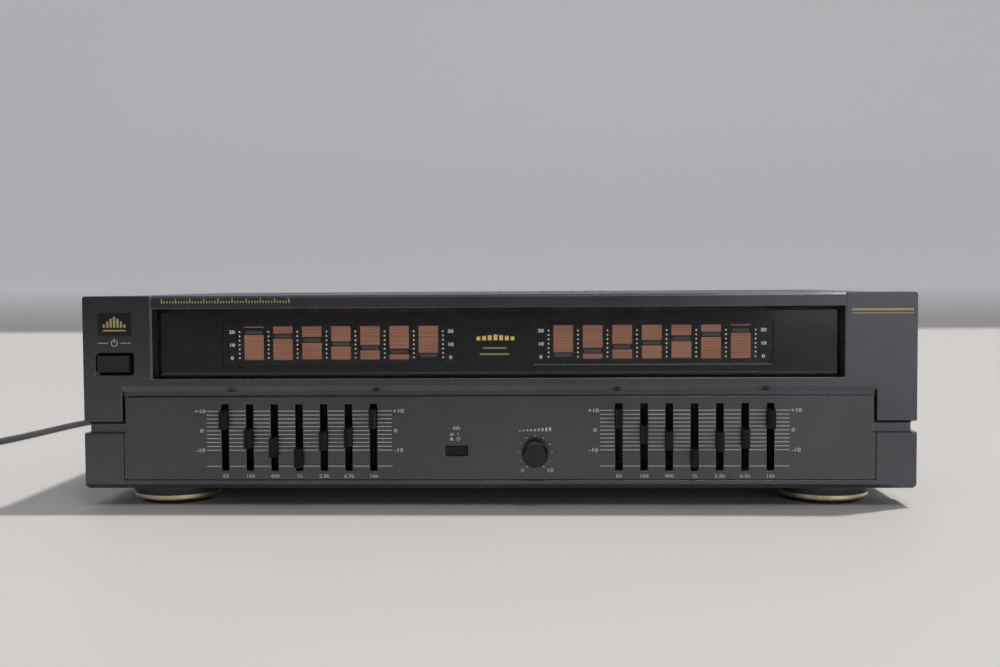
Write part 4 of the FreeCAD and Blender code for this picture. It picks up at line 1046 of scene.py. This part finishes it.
@dataclass
class Lead:
    """The mains lead with its strain relief, the coil of its spare length, tie and plug, in metres."""

    diameter: float = 0.0045
    length: float = 1.3
    exit: Point = (-0.165, 0.160, 0.038)
    lay: tuple[Point, ...] = (
        (-0.165, 0.160, 0.038), (-0.165, 0.183, 0.038), (-0.168, 0.206, 0.027),
        (-0.177, 0.226, 0.012), (-0.193, 0.245, 0.00225), (-0.218, 0.262, 0.00225),
        (-0.252, 0.273, 0.00225), (-0.290, 0.274, 0.00225), (-0.325, 0.262, 0.00225),
        (-0.348, 0.238, 0.00225), (-0.3575, 0.206, 0.00225), (-0.363, 0.160, 0.00225),
        (-0.3695, 0.113, 0.00225), (-0.380, 0.073, 0.00225), (-0.396, 0.040, 0.00225),
    )
    tail: tuple[Point, ...] = (
        (-0.4486, 0.0025, 0.01125), (-0.4677, 0.0135, 0.0095), (-0.481, 0.032, 0.0073),
        (-0.486, 0.055, 0.00685), (-0.486, 0.077, 0.00685),
    )
    coil_centre: Flat = (-0.4345, 0.027)
    inner: float = 0.0242
    outer: float = 0.0288
    entry: float = -30.0
    turned: float = 1530.0
    per_turn: int = 16

    def coil(self) -> list[Point]:
        """Winds the spare length into two columns of turns.

        Returns:
            The points of the turns, from where the lead comes in to where it leaves for the plug.
        """
        shifts = ((300, 350, "in"), (610, 660, "up"), (920, 970, "out"), (1230, 1280, "up"))
        points = []
        steps = round(self.turned / 360 * self.per_turn)
        for step in range(steps):
            gone = self.turned * step / steps
            radius, layer = self.outer, 0.0
            for start, end, way in shifts:
                share = min(1.0, max(0.0, (gone - start) / (end - start)))
                if way == "up":
                    layer += share
                else:
                    radius += share * (self.inner - self.outer) * (1 if way == "in" else -1)
            angle = math.radians(self.entry - gone)
            points.append((self.coil_centre[0] + radius * math.cos(angle),
                           self.coil_centre[1] + radius * math.sin(angle),
                           self.diameter * (0.5 + layer)))
        return points

    def build(self) -> None:
        points = list(self.lay) + self.coil() + list(self.tail)
        curve = bpy.data.curves.new("mains_lead", "CURVE")
        curve.dimensions = "3D"
        curve.bevel_depth = self.diameter / 2
        curve.bevel_resolution = 5
        curve.use_fill_caps = True
        spline = curve.splines.new("NURBS")
        spline.points.add(len(points) - 1)
        for control, place in zip(spline.points, points):
            control.co = (*place, 1)
        spline.order_u = 3
        spline.use_endpoint_u = True
        spline.resolution_u = 6
        curve.materials.append(Moulding("cord_skin", tint(66, 67, 70), roughness=0.48, grain=0.5).material())
        lead = bpy.data.objects.new("mains_lead", curve)
        bpy.context.scene.collection.objects.link(lead)
        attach(lead, "case")
        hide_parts("mains_cord", "cord_coil")
        LOG.info("laid mains_lead through %d points", len(points))

    def relief(self) -> None:
        """Turns the ribbed sleeve that guards the lead where it leaves the back."""
        mesh = bmesh.new()
        profile = [(2.3, 127.8), (6.5, 127.8), (6.5, 130.6), (4.9, 130.8), (4.9, 132.0), (6.5, 132.1),
                   (6.4, 135.0)]
        for rib in range(8):
            depth = 136.2 + rib * 2.85
            radius = 6.3 - (depth - 132) * 0.105
            profile += [(radius - 0.9, depth), (radius - 0.9, depth + 0.8), (radius, depth + 1.0),
                        (radius - 0.1, depth + 2.3)]
        profile += [(3.3, 159.2), (3.0, 159.9), (2.3, 159.9)]
        lathe(mesh, profile, (self.exit[0] / MM, self.exit[2] / MM), 40)
        made = Moulding("relief_pvc", tint(44, 44, 46), roughness=0.5).material()
        sleeve = piece("relief_sleeve", mesh, "case", made)
        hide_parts("strain_relief")

    def dress(self) -> None:
        """Finishes the tie and the plug."""
        dress(["coil_tie"], Moulding("tie_pvc", tint(60, 60, 62), roughness=0.5))
        dress(["mains_plug"], Moulding("plug_pvc", tint(50, 50, 52), roughness=0.5, grain=0.4, relief=0.015))
        dress(["plug_pins"], Metal("pin_brass", tint(214, 206, 180), 0.22, Lay.DRAWN))


@dataclass
class Studio:
    """The table, the wall behind it, the lights and the camera, in metres."""

    half_width: float = 6.0
    near: float = -5.0
    bend: float = 2.4
    bend_radius: float = 0.6
    bend_steps: int = 16
    wall_top: float = 4.0
    key_away: Point = (0.41, 0.22, 1.0)
    key_spread: float = 3.5
    fill_place: Point = (1.3, -2.2, 0.42)
    brow_place: Point = (0.45, -1.25, 2.2)
    dim: Colour = (0.085, 0.088, 0.098)
    ceiling: Colour = (0.5, 0.5, 0.52)
    eye: Point = (0.0233, -0.7278, 0.1154)
    yaw: float = -1.993
    pitch: float = 2.465
    roll: float = -0.35
    lens: float = 41.76
    sensor: float = 36.0
    clip: Flat = (0.01, 50.0)

    def backdrop(self) -> None:
        """Builds the table top and the wall as one curved sheet."""
        line = [(self.near, 0.0)]
        for step in range(self.bend_steps + 1):
            angle = math.pi / 2 * step / self.bend_steps
            line.append((self.bend + self.bend_radius * math.sin(angle),
                         self.bend_radius * (1 - math.cos(angle))))
        line.append((self.bend + self.bend_radius, self.wall_top))
        mesh = bmesh.new()
        rows = [[mesh.verts.new((side * self.half_width, y, z)) for side in (-1, 1)] for y, z in line]
        for low, high in zip(rows, rows[1:]):
            mesh.faces.new((low[0], low[1], high[1], high[0])).smooth = True
        data = bpy.data.meshes.new("backdrop")
        mesh.to_mesh(data)
        mesh.free()
        # The last figure is the wall's painted glow.
        made = Backdrop("table_and_wall", tint(224, 221, 217), tint(212, 210, 214), 0.36).material()
        data.materials.append(made)
        sheet = bpy.data.objects.new("backdrop", data)
        bpy.context.scene.collection.objects.link(sheet)

    def hang(self, light: bpy.types.Light, place: Vector, away: Vector) -> None:
        """Hangs a light.

        Args:
            light: The light.
            place: Where it hangs.
            away: The way from what it shines on to the light.
        """
        lamp = bpy.data.objects.new(light.name, light)
        lamp.location = place
        lamp.rotation_euler = away.to_track_quat("Z", "Y").to_euler()
        bpy.context.scene.collection.objects.link(lamp)

    def lights(self) -> None:
        """Hangs a key light nearly overhead, a fill at the right, and a small soft square in front."""
        key = bpy.data.lights.new("key", "SUN")
        key.energy = 1.85
        key.angle = math.radians(self.key_spread)
        key.color = (1.0, 0.985, 0.965)
        self.hang(key, Vector((0, 0, 0)), Vector(self.key_away))
        fill = bpy.data.lights.new("fill", "AREA")
        fill.shape = "RECTANGLE"
        fill.size = 1.6
        fill.size_y = 1.0
        fill.energy = 5.5
        fill.color = (0.96, 0.98, 1.0)
        place = Vector(self.fill_place)
        self.hang(fill, place, place - Vector((0, 0, 0.05)))
        brow = bpy.data.lights.new("brow", "AREA")
        brow.size = 0.5
        brow.energy = 5
        place = Vector(self.brow_place)
        self.hang(brow, place, place)
        bpy.context.scene.view_settings.view_transform = "Standard"
        LOG.info("lit the scene")

    def surround(self) -> None:
        """Makes a dim surround with a brighter ceiling."""
        tree = Tree("surround", bpy.data.worlds)
        rise = tree.add("SeparateXYZ", sockets={0: tree.add("TexCoord", out="Generated")}, out="Z")
        glow = tree.mix(tree.spread(rise, 0.6, 0.95), self.dim, self.ceiling)
        tree.add("OutputWorld", sockets={"Surface": tree.add("Background", sockets={"Color": glow})})
        bpy.context.scene.world = tree.made

    def camera(self) -> None:
        """Stands the camera in front, a little right of the middle, nearly level with the top."""
        yaw, pitch, roll = (math.radians(angle) for angle in (self.yaw, self.pitch, self.roll))
        ahead = Vector((math.sin(yaw) * math.cos(pitch), math.cos(yaw) * math.cos(pitch), -math.sin(pitch)))
        right = Vector((math.cos(yaw), -math.sin(yaw), 0))
        up = right.cross(ahead)
        across = right * math.cos(roll) + up * math.sin(roll)
        upward = up * math.cos(roll) - right * math.sin(roll)
        stand = Matrix((across, upward, -ahead)).transposed().to_4x4()
        stand.translation = Vector(self.eye)
        view = bpy.data.cameras.new("view")
        view.lens = self.lens
        view.sensor_width = self.sensor
        view.clip_start, view.clip_end = self.clip
        eye = bpy.data.objects.new("view", view)
        eye.matrix_world = stand
        bpy.context.scene.collection.objects.link(eye)
        bpy.context.scene.camera = eye


def main() -> None:
    """Builds the studio and every sub-assembly."""
    logging.basicConfig(level=logging.INFO, format="%(name)s: %(message)s")
    studio = Studio()
    studio.camera()
    studio.lights()
    studio.surround()
    studio.backdrop()
    lead = Lead()
    lead.build()
    lead.relief()
    lead.dress()
    fascia = Fascia()
    fascia.dress()
    fascia.scales()
    fascia.knob_marks()
    fascia.switch_marks()
    fascia.gold_marks()
    display = Display()
    display.dress()
    display.mask()
    display.columns()
    display.figures()
    display.window_marks()
    Controls().dress()
    Housing().dress()
    sockets = Sockets()
    sockets.dress()
    sockets.inserts()
    Inside().dress()


if __name__ == "__main__":
    main()
